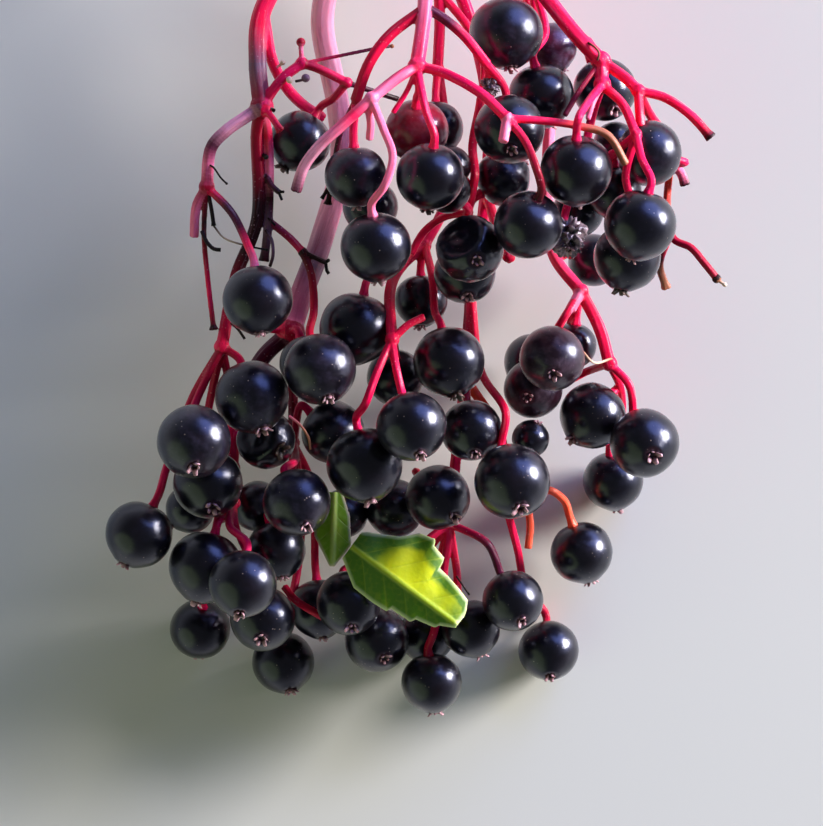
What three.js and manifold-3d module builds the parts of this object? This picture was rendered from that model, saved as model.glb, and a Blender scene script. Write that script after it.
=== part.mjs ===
// Elderberry cluster: a ripe drooping bunch, cut from its bush and laid down on a table.
//
// Millimetres, +Z up. The bunch lies on the plane z = 0 with its cut stalk pointing along +Y,
// its berries towards -Y and the side that is looked at upwards. The origin is on the table,
// under the middle of the bunch.
//
// The stalk ends in a hub, seven rays leave the hub, and each ray forks into the short
// pedicels that carry the berries. Most berries are pieces of their own, held a small gap
// clear of their pedicels. The ones deep inside the bunch are grown together with their ray.

import * as THREE from 'three';
import { mergeVertices } from 'three/addons/utils/BufferGeometryUtils.js';
import Module from 'manifold-3d';

const wasm = await Module();
wasm.setup();

// ---- driving dimensions ---------------------------------------------------------------

const GAP = 0.3;                  // air between two pieces that would touch
const STALK_RADIUS = 1.6;
const HUB_RADIUS = 2.0;
const HUB = [-2, 31, 15];
const PEDICEL_RADIUS = 0.4;
const PEDICEL_INSET = 0.6;        // how far a pedicel reaches into a berry it has grown into
const KNUCKLE_SWELL = 1.35;       // a fork is this much thicker than its thickest twig
const TUBE_STEP = 4.5;            // length of one straight step along a stem
const STEM_SIDES = 6;
const TWIG_SIDES = 4;
const TWIG_LIMIT = 0.47;          // stems up to this radius count as twigs
const STALK_SIDES = 10;
const ROUND_DETAIL = 1;           // how finely the hub and the clearance balls are faceted
const KNUCKLE_DETAIL = 0;
const LEAD_LENGTH = 1.6;          // the straight last stretch of a pedicel, at most
const LEAD_SHARE = 0.35;          // ... and as a share of what is left to its berry
const LEAF_THICKNESS = 0.5;
const WELD_DISTANCE = 1e-4;

// A berry, drawn for a radius of 1 from its stem dimple to its crown.
const BERRY_PROFILE = [
  [0, -0.92],
  [0.4, -0.93],
  [0.93, -0.4],
  [0.97, 0.28],
  [0.58, 0.83],
  [0.14, 1.0],
  [0, 1.06],
];
const BERRY_SEGMENTS = 8;
const INNER_BERRY_SEGMENTS = 7;
const CLEARANCE_SWELL = 1.07;     // makes up for the flat faces of a clearance ball

// Easing: neighbouring berries are pushed apart, mostly up and down.
const EASE_ROUNDS = 240;
const EASE_SIDEWAYS = 0.45;
const EASE_PUSH = 1.05;           // a little more than what is missing, so that it settles

const FINISHES = {
  stalk: { color: 0x7d2a3c, roughness: 0.6, metalness: 0 },
  ray: { color: 0xc4184f, roughness: 0.45, metalness: 0 },
  berry: { color: 0x14121c, roughness: 0.2, metalness: 0 },
  red_berry: { color: 0x8e0f2a, roughness: 0.2, metalness: 0 },
  purple_berry: { color: 0x3d1a2b, roughness: 0.2, metalness: 0 },
  leaf: { color: 0x6f9a1e, roughness: 0.5, metalness: 0 },
};

// ---- the stalk ------------------------------------------------------------------------

const STALK_ROUTE = [[-1, 55.8, 1.65], [-0.6, 50, 3], [-1, 42, 8], [-1.8, 35.5, 12.8], HUB];

// ---- the rays -------------------------------------------------------------------------
// forks: named places that pedicels leave from; one that a run passes gets a knuckle.
// runs: [radius, points], where a point is a place or the name of a fork.

const RAYS = {
  ray_left: {
    forks: {
      left_fork: [-15.4, 5, 21],
      shoulder: [-11.4, 9.3, 21.2],
      elbow: [-6.9, 7.4, 20.6],
      bend: [-20.9, -3, 20.8],
      stem_end: [-11.3, -9.5, 19.8],
      left_umbel: [-19.4, -19, 20],
    },
    runs: [
      [0.92, [[-4.2, 29.9, 16], [-10, 23, 18.5], [-15.4, 14.5, 20], [-15.8, 9.5, 20.6], 'left_fork']],
      [0.57, [[-15.2, 14.2, 19.6], [-14.4, 9.7, 19], [-13.1, 7.2, 17.2], [-11.3, 5.4, 14.4],
        [-9.4, 4.2, 13]]],
      [0.52, ['left_fork', [-13.4, 7.7, 21.7], 'shoulder']],
      [0.46, ['shoulder', [-9.8, 8.8, 21], 'elbow']],
      [0.3, ['elbow', [-4.6, 6.7, 19.6], [-1.8, 5.9, 17.6]]],
      [0.26, ['shoulder', [-11.5, 10.8, 21.4]]],
      [0.2, ['shoulder', [-7.6, 10.1, 20.6], [-3.8, 10.9, 20], [-2.6, 11.1, 19.8]]],
      [0.36, ['left_fork', [-14.4, 3.9, 22], [-13.5, 2.5, 22.4]]],
      [0.63, ['left_fork', [-16.9, 4, 21.2], [-19, 2.5, 21.4], [-20.4, 0.9, 21.2], 'bend']],
      [0.48, ['bend', [-21.9, -4.8, 20.4], [-22.2, -8, 19.6]]],
      [0.28, ['bend', [-21.2, -7.6, 20.2], [-20.8, -12.3, 20], [-20.2, -17.3, 20.4]]],
      [0.63, ['left_fork', [-15.9, 2.7, 20.2], [-15.9, -6.3, 19.4], [-18, -11.9, 19.2], 'left_umbel']],
      [0.46, ['left_fork', [-14.8, 2.5, 20], [-14.8, -6.8, 19.2], [-15.2, -10.4, 19]]],
      [0.4, [[-14.8, -6.3, 19.2], [-12.6, -8.1, 19.4], 'stem_end']],
      [0.28, ['stem_end', [-8.9, -10.6, 20.4]]],
      [0.3, [[-15, -2, 19.8], [-14.3, -3, 20.2], [-13.6, -3.6, 20.4]]],
    ],
  },
  ray_back: {
    forks: {
      back_knot: [-12.7, -17.4, 11.5],
      back_umbel: [-18.8, -31.3, 12],
      back_branch: [-18.4, -34.6, 14.6],
      inner_umbel: [-12.4, -28.6, 11.5],
    },
    runs: [
      [1.2, [[-3.1, 29.4, 13.3], [-7.5, 21.5, 10], [-9.5, 14.5, 9], [-7.9, 5.7, 8], [-7.6, -0.3, 7.6],
        [-9.7, -8.3, 8], [-11.6, -13.6, 10], 'back_knot']],
      [0.85, ['back_knot', [-15.6, -20.2, 11.6], [-18.2, -26, 10.6], 'back_umbel']],
      [0.57, ['back_umbel', 'back_branch']],
      [0.52, ['back_knot', [-12.5, -22.5, 10.4], 'inner_umbel']],
      [0.3, ['back_knot', [-15.3, -17.2, 13.6]]],
      [0.37, ['back_branch', [-17.9, -37.4, 18.4], [-16, -41.4, 19]]],
    ],
  },
  ray_centre: {
    forks: {
      front_fork: [0.1, 8.8, 26],
      front_arm: [-4.4, 5.4, 29],
      right_arm: [9, 3.5, 28.8],
    },
    runs: [
      [0.75, [[-1.9, 28.9, 16.7], [0.3, 22, 21], [0.9, 15.7, 24], 'front_fork']],
      [0.52, [[0.8, 14.8, 24.3], [2.9, 13.5, 24.2], [4.9, 11.8, 23.8], [7.1, 9.1, 23]]],
      [0.57, [[0.8, 14.5, 24.4], [-2.6, 11.9, 25], [-4.6, 9.2, 25.2], [-6, 5.4, 24.6]]],
      [0.28, [[-6, 5.6, 24.4], [-7.6, 2, 22], [-8.8, -4.8, 21]]],
      [0.57, ['front_fork', [-1.6, 7.7, 27.4], 'front_arm']],
      [0.57, ['front_arm', [-7.6, 2.5, 29.2], [-9.6, 0.7, 28.8], [-11.1, -1.3, 28.2], [-11.9, -3.7, 27.6]]],
      [0.4, [[-4.9, 5.1, 28.9], [-4.5, 3.2, 28.4], [-4.6, 1.4, 27.8]]],
      [0.52, ['front_fork', [2.5, 8.2, 26.6], [6.4, 6, 28.2], 'right_arm']],
      [0.28, ['front_fork', [-0.9, 6.4, 24.4], [-2.3, 4.2, 24.2]]],
      [0.52, ['right_arm', [8.6, 1.1, 29.6]]],
      [0.41, ['right_arm', [13.4, 3.2, 28.2], [16.4, 2.7, 27.8], [18.9, 1.9, 27.6], [20.8, -1, 27]]],
    ],
  },
  ray_middle: {
    forks: {
      upper_knot: [2.2, 9.1, 11.4],
      hidden_fork: [5.2, -5.5, 17.2],
      lower_bend: [0.9, -8.6, 9.8],
      middle_umbel: [-2.4, -18.3, 22],
    },
    runs: [
      [0.57, [[-1, 29, 13.2], [1.6, 22, 12.2], [2.4, 15.7, 12], 'upper_knot']],
      [0.57, ['upper_knot', [2.8, 5, 8.6], [3.4, 0, 8.2], [2.9, -4.5, 8.6], 'lower_bend']],
      [0.57, ['lower_bend', [-1.3, -10.6, 12], [-2.6, -13.4, 17], 'middle_umbel']],
      [0.46, [[2.4, 17, 12], [5.4, 13.2, 12.4], [6.9, 9.7, 12.6], [6.5, 5.7, 13.4], [5.7, 1.2, 15.6],
        [5.9, -1.8, 17.6], 'hidden_fork']],
      [0.4, ['hidden_fork', [2.9, -5.9, 16.6], [0.9, -7.3, 16.2], [-0.5, -9.6, 16]]],
      [0.4, ['middle_umbel', [-0.8, -16.8, 21.4], [0.8, -16, 20.8]]],
    ],
  },
  ray_right: {
    forks: {
      top_umbel: [11.5, 18.5, 15.5],
      right_knot: [18.5, 9.6, 20],
      inner_knot: [18.6, 7.2, 20.8],
      cross_knot: [21.9, 2.1, 24],
      outer_knot: [22.2, 6.6, 20.6],
      buried_fork: [16.8, 0.2, 19.4],
      low_fork: [25.6, -0.6, 15.4],
    },
    runs: [
      [0.8, [[0.3, 30, 16], [7, 23.5, 18], [15.9, 12.4, 19.8], 'right_knot']],
      [0.52, [[7, 23.5, 18], [9.6, 21, 16.8], 'top_umbel']],
      [0.69, ['right_knot', 'inner_knot']],
      [0.3, ['right_knot', [16.4, 6.7, 21.6], [14.8, 4, 22.4]]],
      [0.3, ['inner_knot', [17.6, 5.2, 22.5], [17.1, 3.6, 23]]],
      [0.48, ['inner_knot', [20.6, 5.2, 22], 'cross_knot']],
      [0.57, ['right_knot', [20.9, 7.9, 20.4], 'outer_knot']],
      [0.48, ['outer_knot', [22.3, 4.4, 21.6], [22.4, 2.9, 22]]],
      [0.48, ['outer_knot', [24.9, 5.9, 20.6], [27.4, 4.2, 20.8], [29.5, 1.9, 20.6]]],
      [0.48, ['outer_knot', [23.6, 4.2, 17], [25.2, 2, 15.4], 'low_fork']],
      [0.48, ['low_fork', [26.6, -1.4, 16.2], [27.1, -2.7, 16]]],
      [0.4, ['low_fork', [25.3, -5, 15.4], [25.9, -8.1, 16.2], [27.6, -9, 16.8], [28.9, -10.5, 17],
        [30.2, -12.1, 17]]],
      [0.4, [[25.7, -7.4, 16], [24.6, -10.6, 14], [25.3, -13, 13]]],
      [0.46, ['inner_knot', [17.7, 4.4, 19.4], 'buried_fork']],
    ],
  },
  ray_side: {
    forks: {
      side_knot: [16.7, -13.3, 11],
      side_umbel: [19.6, -20.6, 11],
    },
    runs: [
      [0.63, [[0.6, 30.2, 13.6], [6, 24.4, 11], [11, 17.6, 9], [13.4, 8, 7.2], [13.4, -4, 7],
        [14, -9.4, 8.4], 'side_knot']],
      [0.63, ['side_knot', [18.6, -17, 11], 'side_umbel']],
      [0.57, ['side_knot', [15.6, -15.2, 12.6]]],
    ],
  },
  ray_lower: {
    forks: {
      deep_fork: [5.6, -13, 8],
      lower_umbel: [3.4, -36.8, 8.4],
      outer_umbel: [9.2, -35.2, 8.4],
      far_fork: [9.4, -9.8, 12.4],
    },
    runs: [
      [0.69, [[-1.6, 30.4, 12.4], [0.6, 25, 7.4], [5, 16, 5.8], [7.4, 6, 5.8], [7, -5, 6.4], 'deep_fork']],
      [0.57, ['deep_fork', [4.8, -24, 9], [4, -31, 9.4], 'lower_umbel']],
      [0.52, [[7.1, -3, 6.3], [8.3, -7, 10], 'far_fork']],
      [0.52, [[5, -22, 8.9], [8.6, -28, 9.4], 'outer_umbel']],
      [0.4, ['outer_umbel', [11, -34.6, 8.6], [11.6, -36.6, 8.6], [11.4, -39.4, 8.6]]],
    ],
  },
};

// ---- the berries ----------------------------------------------------------------------
// [ray, fork, centre, radius, way the crown points, places its pedicel passes on the way].
// Easing moves a loose berry where it has to; an inner one stays where it is written.

const LOOSE_BERRIES = [
  ['left', 'elbow', [-11.6, 1.7, 18], 3.1, [-0.5, -0.85, 0.1], [[-8.2, 5.9, 20]]],
  ['left', 'bend', [-15.7, -14.3, 26], 3.5, [0.1, -0.95, 0.2], [[-18.4, -5.6, 21.4], [-16.6, -9.2, 24]]],
  ['left', 'stem_end', [-9.5, -21, 23], 3.6, [0.25, -0.83, 0.5], [[-10.5, -11.6, 20],
    [-10.2, -15.4, 20.6]]],
  ['left', 'left_umbel', [-16.3, -24, 22], 3.7, [0.3, -0.89, 0.34], []],
  ['left', 'left_umbel', [-21.9, -28.5, 24], 3.7, [0.03, -0.68, 0.73], []],
  ['left', 'left_umbel', [-20.9, -32.5, 19], 3.5, [0.17, -0.66, 0.73], [[-20.6, -24, 17.2]]],
  ['left', 'left_umbel', [-27.1, -38, 19], 3.4, [-0.44, -0.9, 0.1], [[-22.4, -24, 17.4], [-25, -31, 17.4]]],
  ['back', 'back_branch', [-21.6, -40.7, 19], 3.7, [-0.27, -0.96, 0.1], [[-19.2, -36, 15]]],
  ['back', 'back_branch', [-17.3, -42.5, 24.4], 3.4, [-0.09, -0.85, 0.5], [[-18.6, -37, 19.4]]],
  ['back', 'back_umbel', [-22.1, -47.7, 3.2], 3.1, [-0.1, -0.7, -0.5], [[-20.2, -36.6, 8]]],
  ['back', 'inner_umbel', [-15.5, -46.4, 12], 3.3, [-0.03, -0.58, 0.8], [[-12, -34, 9]]],
  ['back', 'inner_umbel', [-13.6, -51.1, 3.3], 3.2, [0.2, -0.8, 0.3], [[-11.6, -36, 6.4], [-12.6, -44, 5]]],
  ['back', 'inner_umbel', [-11.9, -34.5, 22], 3.4, [0.29, -0.7, 0.65], [[-12.2, -30.4, 15.4]]],
  ['centre', null, [-6, -2, 24], 3.1, [0.05, -1, -0.05], [[-6, 5.4, 24.6]]],
  ['centre', 'front_arm', [-4, -9.1, 28], 3.5, [0.1, -0.98, -0.3], [[-3.2, 2.4, 29.8],
    [-2.3, -0.3, 30.6], [-3.1, -3.2, 30.6]]],
  ['centre', 'front_fork', [0.2, 2.5, 19.6], 3.2, [0, -0.8, -0.6], [[0.3, 6.6, 24.2]]],
  ['centre', 'front_fork', [1.4, -2.1, 26.4], 3.4, [-0.1, -0.9, -0.4], [[1, 4.2, 28]]],
  ['centre', null, [9.3, 2.6, 24], 3.5, [0.03, -0.6, 0.8], [[7.1, 9.1, 23], [8.8, 6.9, 21.6]]],
  ['centre', 'right_arm', [11.1, -6.9, 27.4], 3.4, [-0.3, -0.8, -0.5], [[10.8, 1.2, 29.4],
    [11.8, -1.4, 30.4]]],
  ['middle', 'hidden_fork', [5.4, -9.3, 24], 3.4, [0.2, -0.35, 0.91], []],
  ['middle', 'hidden_fork', [4.9, -11.5, 18], 3.1, [0.1, -0.74, 0.66], []],
  ['middle', 'lower_bend', [-6.2, -17.3, 19], 3.7, [-0.2, -0.9, 0.1], [[-3.4, -11.6, 14.4]]],
  ['middle', 'lower_bend', [3.3, -20.4, 19], 3.6, [0.2, -0.9, 0.3], [[1.7, -12.2, 14.6],
    [1.9, -15.4, 16.2]]],
  ['middle', 'middle_umbel', [-5, -30.6, 22], 3.8, [0.18, -0.95, 0.25], [[-3.9, -21.6, 23.6],
    [-5, -24.6, 23.6]]],
  ['middle', 'middle_umbel', [-0.6, -27, 26], 3.5, [0.23, -0.8, 0.55], [[-2, -21, 23.4]]],
  ['right', 'top_umbel', [9.1, 12.4, 19], 3.7, [0.08, -0.95, 0.2], []],
  ['right', 'top_umbel', [13.7, 11.4, 12], 2.6, [0.4, -0.9, 0.1], []],
  ['right', 'top_umbel', [12.5, 6.4, 17.6], 3.3, [0.2, -0.95, -0.2], [[13, 12.6, 16.6]]],
  ['right', 'inner_knot', [15.8, -1.6, 26.6], 3.6, [0, -0.9, -0.4], [[17.2, 5.4, 25.4], [16, 3.4, 30.1]]],
  ['right', 'right_knot', [19.1, 6.8, 13], 3.2, [0.31, -0.66, 0.69], [[17.2, 12, 14.4]]],
  ['right', 'low_fork', [22.9, -0.1, 19.6], 3.3, [-0.9, 0.2, 0.5], []],
  ['right', 'cross_knot', [22.2, -6.9, 26.6], 3.6, [-0.25, -0.95, -0.1], [[22.4, -0.4, 25.6]]],
  ['right', 'cross_knot', [21.1, -10, 20], 3.4, [-0.2, -0.97, 0.1], [[20.9, -2.2, 22.6]]],
  ['right', 'cross_knot', [19.6, -3.3, 16], 2.8, [0, -0.9, -0.2], [[19.4, 0, 21]]],
  ['right', 'buried_fork', [15.1, -8, 20], 2.2, [0.05, -0.6, 0.8], []],
  ['side', 'side_knot', [13.7, -20.1, 15.6], 3.3, [0, -0.47, 0.88], [[15.2, -15.6, 13]]],
  ['side', 'side_umbel', [12.5, -23.5, 10.2], 3, [-0.2, -0.3, 0.93], [[17.4, -21.4, 6.4],
    [14.6, -22.6, 6]]],
  ['side', 'side_umbel', [17.6, -25.7, 10], 3.4, [-0.6, -0.7, 0.3], []],
  ['side', 'side_umbel', [22.8, -28.5, 13.4], 3.5, [0.2, -0.35, 0.9], [[21.6, -22.8, 11.4]]],
  ['side', 'side_umbel', [20.2, -32.5, 3.2], 3.1, [0.1, -0.9, -0.3], [[20.9, -23.4, 8],
    [20.8, -27.4, 5.4]]],
  ['lower', 'deep_fork', [9.6, -32.4, 20], 3.8, [0.21, -0.71, 0.67], [[6.6, -21.4, 12.6], [9, -25.6, 17]]],
  ['lower', 'lower_umbel', [2.2, -34.1, 14], 3.3, [0.5, -0.58, 0.64], []],
  ['lower', 'lower_umbel', [-6.8, -44.8, 12.2], 3.3, [0.12, -0.73, 0.67], [[-2.4, -40.8, 10]]],
  ['lower', 'lower_umbel', [-4.4, -48.5, 6.8], 3.3, [0.24, -0.55, 0.8], [[-0.6, -41.8, 5.6]]],
  ['lower', 'lower_umbel', [1.1, -48.3, 3], 2.9, [-0.1, -0.9, 0], []],
  ['lower', 'lower_umbel', [1.6, -53, 7.4], 3.1, [0.1, -0.98, -0.15], [[2.6, -44, 8], [1.8, -48, 8.4]]],
  ['lower', 'lower_umbel', [5.6, -47.5, 7.3], 3, [0.3, -0.8, 0], [[4.2, -42, 7.4]]],
  ['lower', 'lower_umbel', [9.8, -44.6, 11.3], 3.1, [0.29, -0.65, 0.7], [[7.2, -38.8, 9.6]]],
  ['lower', 'outer_umbel', [13.6, -49.9, 3.1], 3.1, [0.06, -0.84, 0.54], [[10.4, -39.6, 6.2],
    [11.2, -43.4, 4.4]]],
  ['lower', 'outer_umbel', [16.9, -39.8, 5], 3.2, [0.3, -0.9, -0.2], [[13.2, -33.4, 9], [15, -34.4, 7.6]]],
];

const INNER_BERRIES = [
  ['left', 'left_umbel', [-15.1, -28.3, 16.6], 3, [0.5, -0.33, 0.8], [[-18.4, -24, 15.6]]],
  ['back', null, [-4.6, -4.8, 14], 2.8, [0.5, -0.8, 0.4], [[-7.6, 0, 8], [-6.4, -0.6, 11]]],
  ['back', 'back_knot', [-10.8, -20.6, 14.6], 3, [0.3, -0.9, 0.2], []],
  ['back', 'inner_umbel', [-8.4, -27.5, 14.6], 3.2, [0.7, -0.6, 0.2], []],
  ['back', 'back_umbel', [-16.1, -35, 11.6], 2.6, [0.6, -0.6, 0.2], []],
  ['back', 'inner_umbel', [-14.1, -39.4, 15], 3, [0.2, -0.9, 0.3], [[-12.8, -33, 12.6]]],
  ['back', 'back_umbel', [-22.9, -35.3, 10.4], 2.5, [-0.7, -0.6, 0.1], []],
  ['back', 'inner_umbel', [-9.8, -45.5, 6], 3.1, [0.1, -0.9, 0.2], [[-10.6, -33, 7.6]]],
  ['centre', null, [7.4, 7, 21.6], 1.1, [0.1, -0.9, -0.3], [[6.9, 9.3, 23]]],
  ['middle', 'upper_knot', [2, 3.2, 13.2], 2.8, [0, -0.9, 0.3], []],
  ['middle', 'hidden_fork', [3.4, -0.9, 16.9], 2.2, [-0.6, 0.6, 0], []],
  ['middle', 'hidden_fork', [3.2, -3.4, 20.7], 2.3, [-0.6, 0.5, 0.4], []],
  ['middle', 'hidden_fork', [8.7, -2, 15], 2.8, [0.7, 0.5, 0], []],
  ['middle', 'lower_bend', [0.5, -14.2, 11.6], 2.7, [0, -0.9, 0.2], []],
  ['middle', 'middle_umbel', [-2.1, -22, 13.6], 2.9, [0, -0.7, -0.6], [[-2.2, -18.6, 18]]],
  ['right', 'buried_fork', [20.2, 1.6, 11.6], 2.3, [0.7, 0.3, -0.6], [[17.4, 0.9, 15.6]]],
  ['right', 'buried_fork', [16.4, -5.2, 12.6], 2.6, [0, -0.7, -0.5], []],
  ['side', null, [18.1, -10, 6], 2.7, [0.8, -0.2, -0.2], [[14.2, -9.6, 8.5], [15, -9.6, 7.6]]],
  ['side', 'side_knot', [11.9, -20.4, 4.4], 2.9, [-0.7, -0.5, -0.4], []],
  ['side', 'side_knot', [16, -18.7, 8.2], 2.4, [-0.1, -0.9, -0.2], []],
  ['lower', 'deep_fork', [5.6, -27.3, 15.4], 3.1, [0.1, -0.7, 0.6], []],
  ['lower', 'outer_umbel', [11.6, -28.2, 11.4], 1.9, [0.3, 0.7, 0.3], []],
  ['lower', 'lower_umbel', [-2.1, -35.3, 8], 3, [-0.9, 0.1, 0], []],
  ['lower', 'lower_umbel', [-7.3, -35.8, 7.6], 2.5, [-0.8, -0.3, 0], []],
];

const RED_BERRY = 'centre_3';
const PURPLE_BERRIES = ['right_2', 'side_1', 'side_2'];

// ---- the leaflets ---------------------------------------------------------------------
// Outlines in the leaflet's own plane: x along the midrib from its base, y across it.

const LEAFLETS = {
  leaflet_main: {
    base: [-6.5, -39, 16.4],
    tip: [4.2, -46.9, 17],
    roll: -0.12,
    outline: [[0, 1.7], [0.1, -1.6], [2.5, -3], [6.6, -3.2], [9.2, -2.5], [11.8, -1.4], [13.1, 1.6],
      [12.8, 2.4], [10.9, 2.7], [7.4, 3.2], [8.2, 4.4], [6.4, 5.5], [4.7, 5.2], [3.4, 3.6]],
  },
  leaflet_side: {
    base: [-8.2, -33.6, 14.4],
    tip: [-8.4, -41, 15.2],
    roll: 0.1,
    outline: [[0, -0.7], [1.6, -1.9], [4.4, -1.8], [7.4, -0.2], [6.2, 1], [5.2, 1.7], [2.4, 1.5], [0, 0.7]],
  },
};

// ---- helpers --------------------------------------------------------------------------

const vector = (place) => new THREE.Vector3(...place);

function closedGeometry(geometry) {
  geometry.deleteAttribute('normal');
  geometry.deleteAttribute('uv');
  const merged = mergeVertices(geometry, WELD_DISTANCE);
  const index = merged.getIndex().array;
  const kept = [];
  for (let i = 0; i < index.length; i += 3) {
    const [a, b, c] = [index[i], index[i + 1], index[i + 2]];
    if (a !== b && b !== c && c !== a) kept.push(a, b, c);
  }
  merged.setIndex(kept);
  return merged;
}

function toSolid(geometry) {
  const closed = closedGeometry(geometry);
  const vertProperties = new Float32Array(closed.getAttribute('position').array);
  const triVerts = new Uint32Array(closed.getIndex().array);
  return new wasm.Manifold(new wasm.Mesh({ numProp: 3, vertProperties, triVerts }));
}

function toGeometry(solid) {
  const mesh = solid.getMesh();
  const geometry = new THREE.BufferGeometry();
  geometry.setAttribute('position', new THREE.BufferAttribute(new Float32Array(mesh.vertProperties), 3));
  geometry.setIndex(new THREE.BufferAttribute(new Uint32Array(mesh.triVerts), 1));
  geometry.computeVertexNormals();
  return geometry;
}

function namedMesh(name, geometry, finish) {
  const mesh = new THREE.Mesh(geometry, new THREE.MeshStandardMaterial(finish));
  mesh.name = name;
  return mesh;
}

function tube(points, radius, sides) {
  const corners = [];
  for (let i = 0; i < sides; i += 1) {
    const turn = (2 * Math.PI * i) / sides;
    corners.push(new THREE.Vector2(radius * Math.cos(turn), radius * Math.sin(turn)));
  }
  const path = new THREE.CatmullRomCurve3(points, false, 'centripetal');
  const steps = Math.max(1, Math.round(path.getLength() / TUBE_STEP), points.length - 1);
  const section = new THREE.Shape(corners);
  return new THREE.ExtrudeGeometry(section, { steps, bevelEnabled: false, extrudePath: path });
}

function ball(centre, radius, detail) {
  const geometry = new THREE.IcosahedronGeometry(radius, detail);
  return geometry.translate(...centre);
}

function berryGeometry(radius, segments) {
  const profile = BERRY_PROFILE.map(([out, along]) => new THREE.Vector2(out * radius, along * radius));
  return new THREE.LatheGeometry(profile, segments);
}

const berryTurn = (axis) => new THREE.Quaternion().setFromUnitVectors(new THREE.Vector3(0, 1, 0), axis);

// ---- berries: read, ease apart --------------------------------------------------------

function readBerries(rows, loose) {
  return rows.map(([ray, fork, centre, radius, crown, via]) => ({
    ray, fork, radius, loose,
    centre: vector(centre),
    axis: vector(crown).normalize(),
    via: via.map(vector),
  }));
}

function easeApart(berries) {
  const between = new THREE.Vector3();
  for (let round = 0; round < EASE_ROUNDS; round += 1) {
    for (let i = 0; i < berries.length; i += 1) {
      for (let j = i + 1; j < berries.length; j += 1) {
        const [first, second] = [berries[i], berries[j]];
        between.subVectors(second.centre, first.centre);
        const missing = first.radius + second.radius + GAP - between.length();
        const movers = Number(first.loose) + Number(second.loose);
        if (missing <= 0 || movers === 0) continue;
        between.set(between.x * EASE_SIDEWAYS, between.y * EASE_SIDEWAYS, between.z);
        between.setLength((EASE_PUSH * missing) / movers);
        if (first.loose) first.centre.sub(between);
        if (second.loose) second.centre.add(between);
      }
    }
    for (const berry of berries) {
      if (berry.loose) berry.centre.z = Math.max(berry.centre.z, berry.radius);
    }
  }
}

const berries = [...readBerries(LOOSE_BERRIES, true), ...readBerries(INNER_BERRIES, false)];
easeApart(berries);

// ---- stems ----------------------------------------------------------------------------

function clearanceOf(berry) {
  const radius = berry.radius * CLEARANCE_SWELL + GAP;
  return toSolid(ball(berry.centre.toArray(), radius, ROUND_DETAIL));
}

function pedicelPoints(berry, forks) {
  const end = berry.centre.clone().addScaledVector(berry.axis, PEDICEL_INSET - berry.radius);
  const start = berry.fork ? [vector(forks[berry.fork])] : [];
  const before = [...start, ...berry.via];
  const reach = before[before.length - 1].distanceTo(end);
  const lead = end.clone().addScaledVector(berry.axis, -Math.min(LEAD_LENGTH, LEAD_SHARE * reach));
  return [...before, lead, end];
}

function buildRay(ray) {
  const { forks, runs } = RAYS[`ray_${ray}`];
  const place = (point) => vector(typeof point === 'string' ? forks[point] : point);
  const thickest = {};
  const parts = [];
  for (const [radius, points] of runs) {
    parts.push(tube(points.map(place), radius, radius > TWIG_LIMIT ? STEM_SIDES : TWIG_SIDES));
    for (const point of points) {
      if (typeof point === 'string') thickest[point] = Math.max(radius, thickest[point] ?? 0);
    }
  }
  for (const [fork, radius] of Object.entries(thickest)) {
    parts.push(ball(forks[fork], radius * KNUCKLE_SWELL, KNUCKLE_DETAIL));
  }
  const own = berries.filter((berry) => berry.ray === ray);
  for (const berry of own) {
    parts.push(tube(pedicelPoints(berry, forks), PEDICEL_RADIUS, TWIG_SIDES));
    if (!berry.loose) {
      const grown = berryGeometry(berry.radius, INNER_BERRY_SEGMENTS);
      grown.applyQuaternion(berryTurn(berry.axis));
      parts.push(grown.translate(...berry.centre.toArray()));
    }
  }
  let solid = toSolid(parts[0]);
  for (const part of parts.slice(1)) solid = solid.add(toSolid(part));
  for (const berry of berries.filter(({ loose }) => loose)) {
    solid = solid.subtract(clearanceOf(berry));
  }
  return solid;
}

// ---- leaflets -------------------------------------------------------------------------

function buildLeaflet({ base, tip, roll, outline }) {
  const blade = new THREE.Shape(outline.map(([along, across]) => new THREE.Vector2(along, across)));
  const geometry = new THREE.ExtrudeGeometry(blade, { depth: LEAF_THICKNESS, bevelEnabled: false });
  geometry.translate(0, 0, -LEAF_THICKNESS / 2);
  const along = vector(tip).sub(vector(base)).normalize();
  const across = new THREE.Vector3(0, 0, 1).cross(along).normalize();
  const up = along.clone().cross(across);
  geometry.rotateX(roll);
  geometry.applyMatrix4(new THREE.Matrix4().makeBasis(along, across, up));
  return geometry.translate(...base);
}

// ---- the whole bunch ------------------------------------------------------------------

const group = new THREE.Group();

const stalkTube = tube(STALK_ROUTE.map(vector), STALK_RADIUS, STALK_SIDES);
const stalk = toSolid(stalkTube).add(toSolid(ball(HUB, HUB_RADIUS, ROUND_DETAIL)));
group.add(namedMesh('stalk', toGeometry(stalk), FINISHES.stalk));

for (const name of Object.keys(RAYS)) {
  const solid = buildRay(name.replace('ray_', ''));
  group.add(namedMesh(name, toGeometry(solid), FINISHES.ray));
}

const counts = {};
for (const berry of berries.filter(({ loose }) => loose)) {
  counts[berry.ray] = (counts[berry.ray] ?? 0) + 1;
  const label = `${berry.ray}_${counts[berry.ray]}`;
  let finish = FINISHES.berry;
  if (label === RED_BERRY) finish = FINISHES.red_berry;
  if (PURPLE_BERRIES.includes(label)) finish = FINISHES.purple_berry;
  const geometry = toGeometry(toSolid(berryGeometry(berry.radius, BERRY_SEGMENTS)));
  const mesh = namedMesh(`berry_${label}`, geometry, finish);
  mesh.position.copy(berry.centre);
  mesh.quaternion.copy(berryTurn(berry.axis));
  group.add(mesh);
}

for (const [name, leaflet] of Object.entries(LEAFLETS)) {
  group.add(namedMesh(name, toGeometry(toSolid(buildLeaflet(leaflet))), FINISHES.leaf));
}

export default group;
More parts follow.
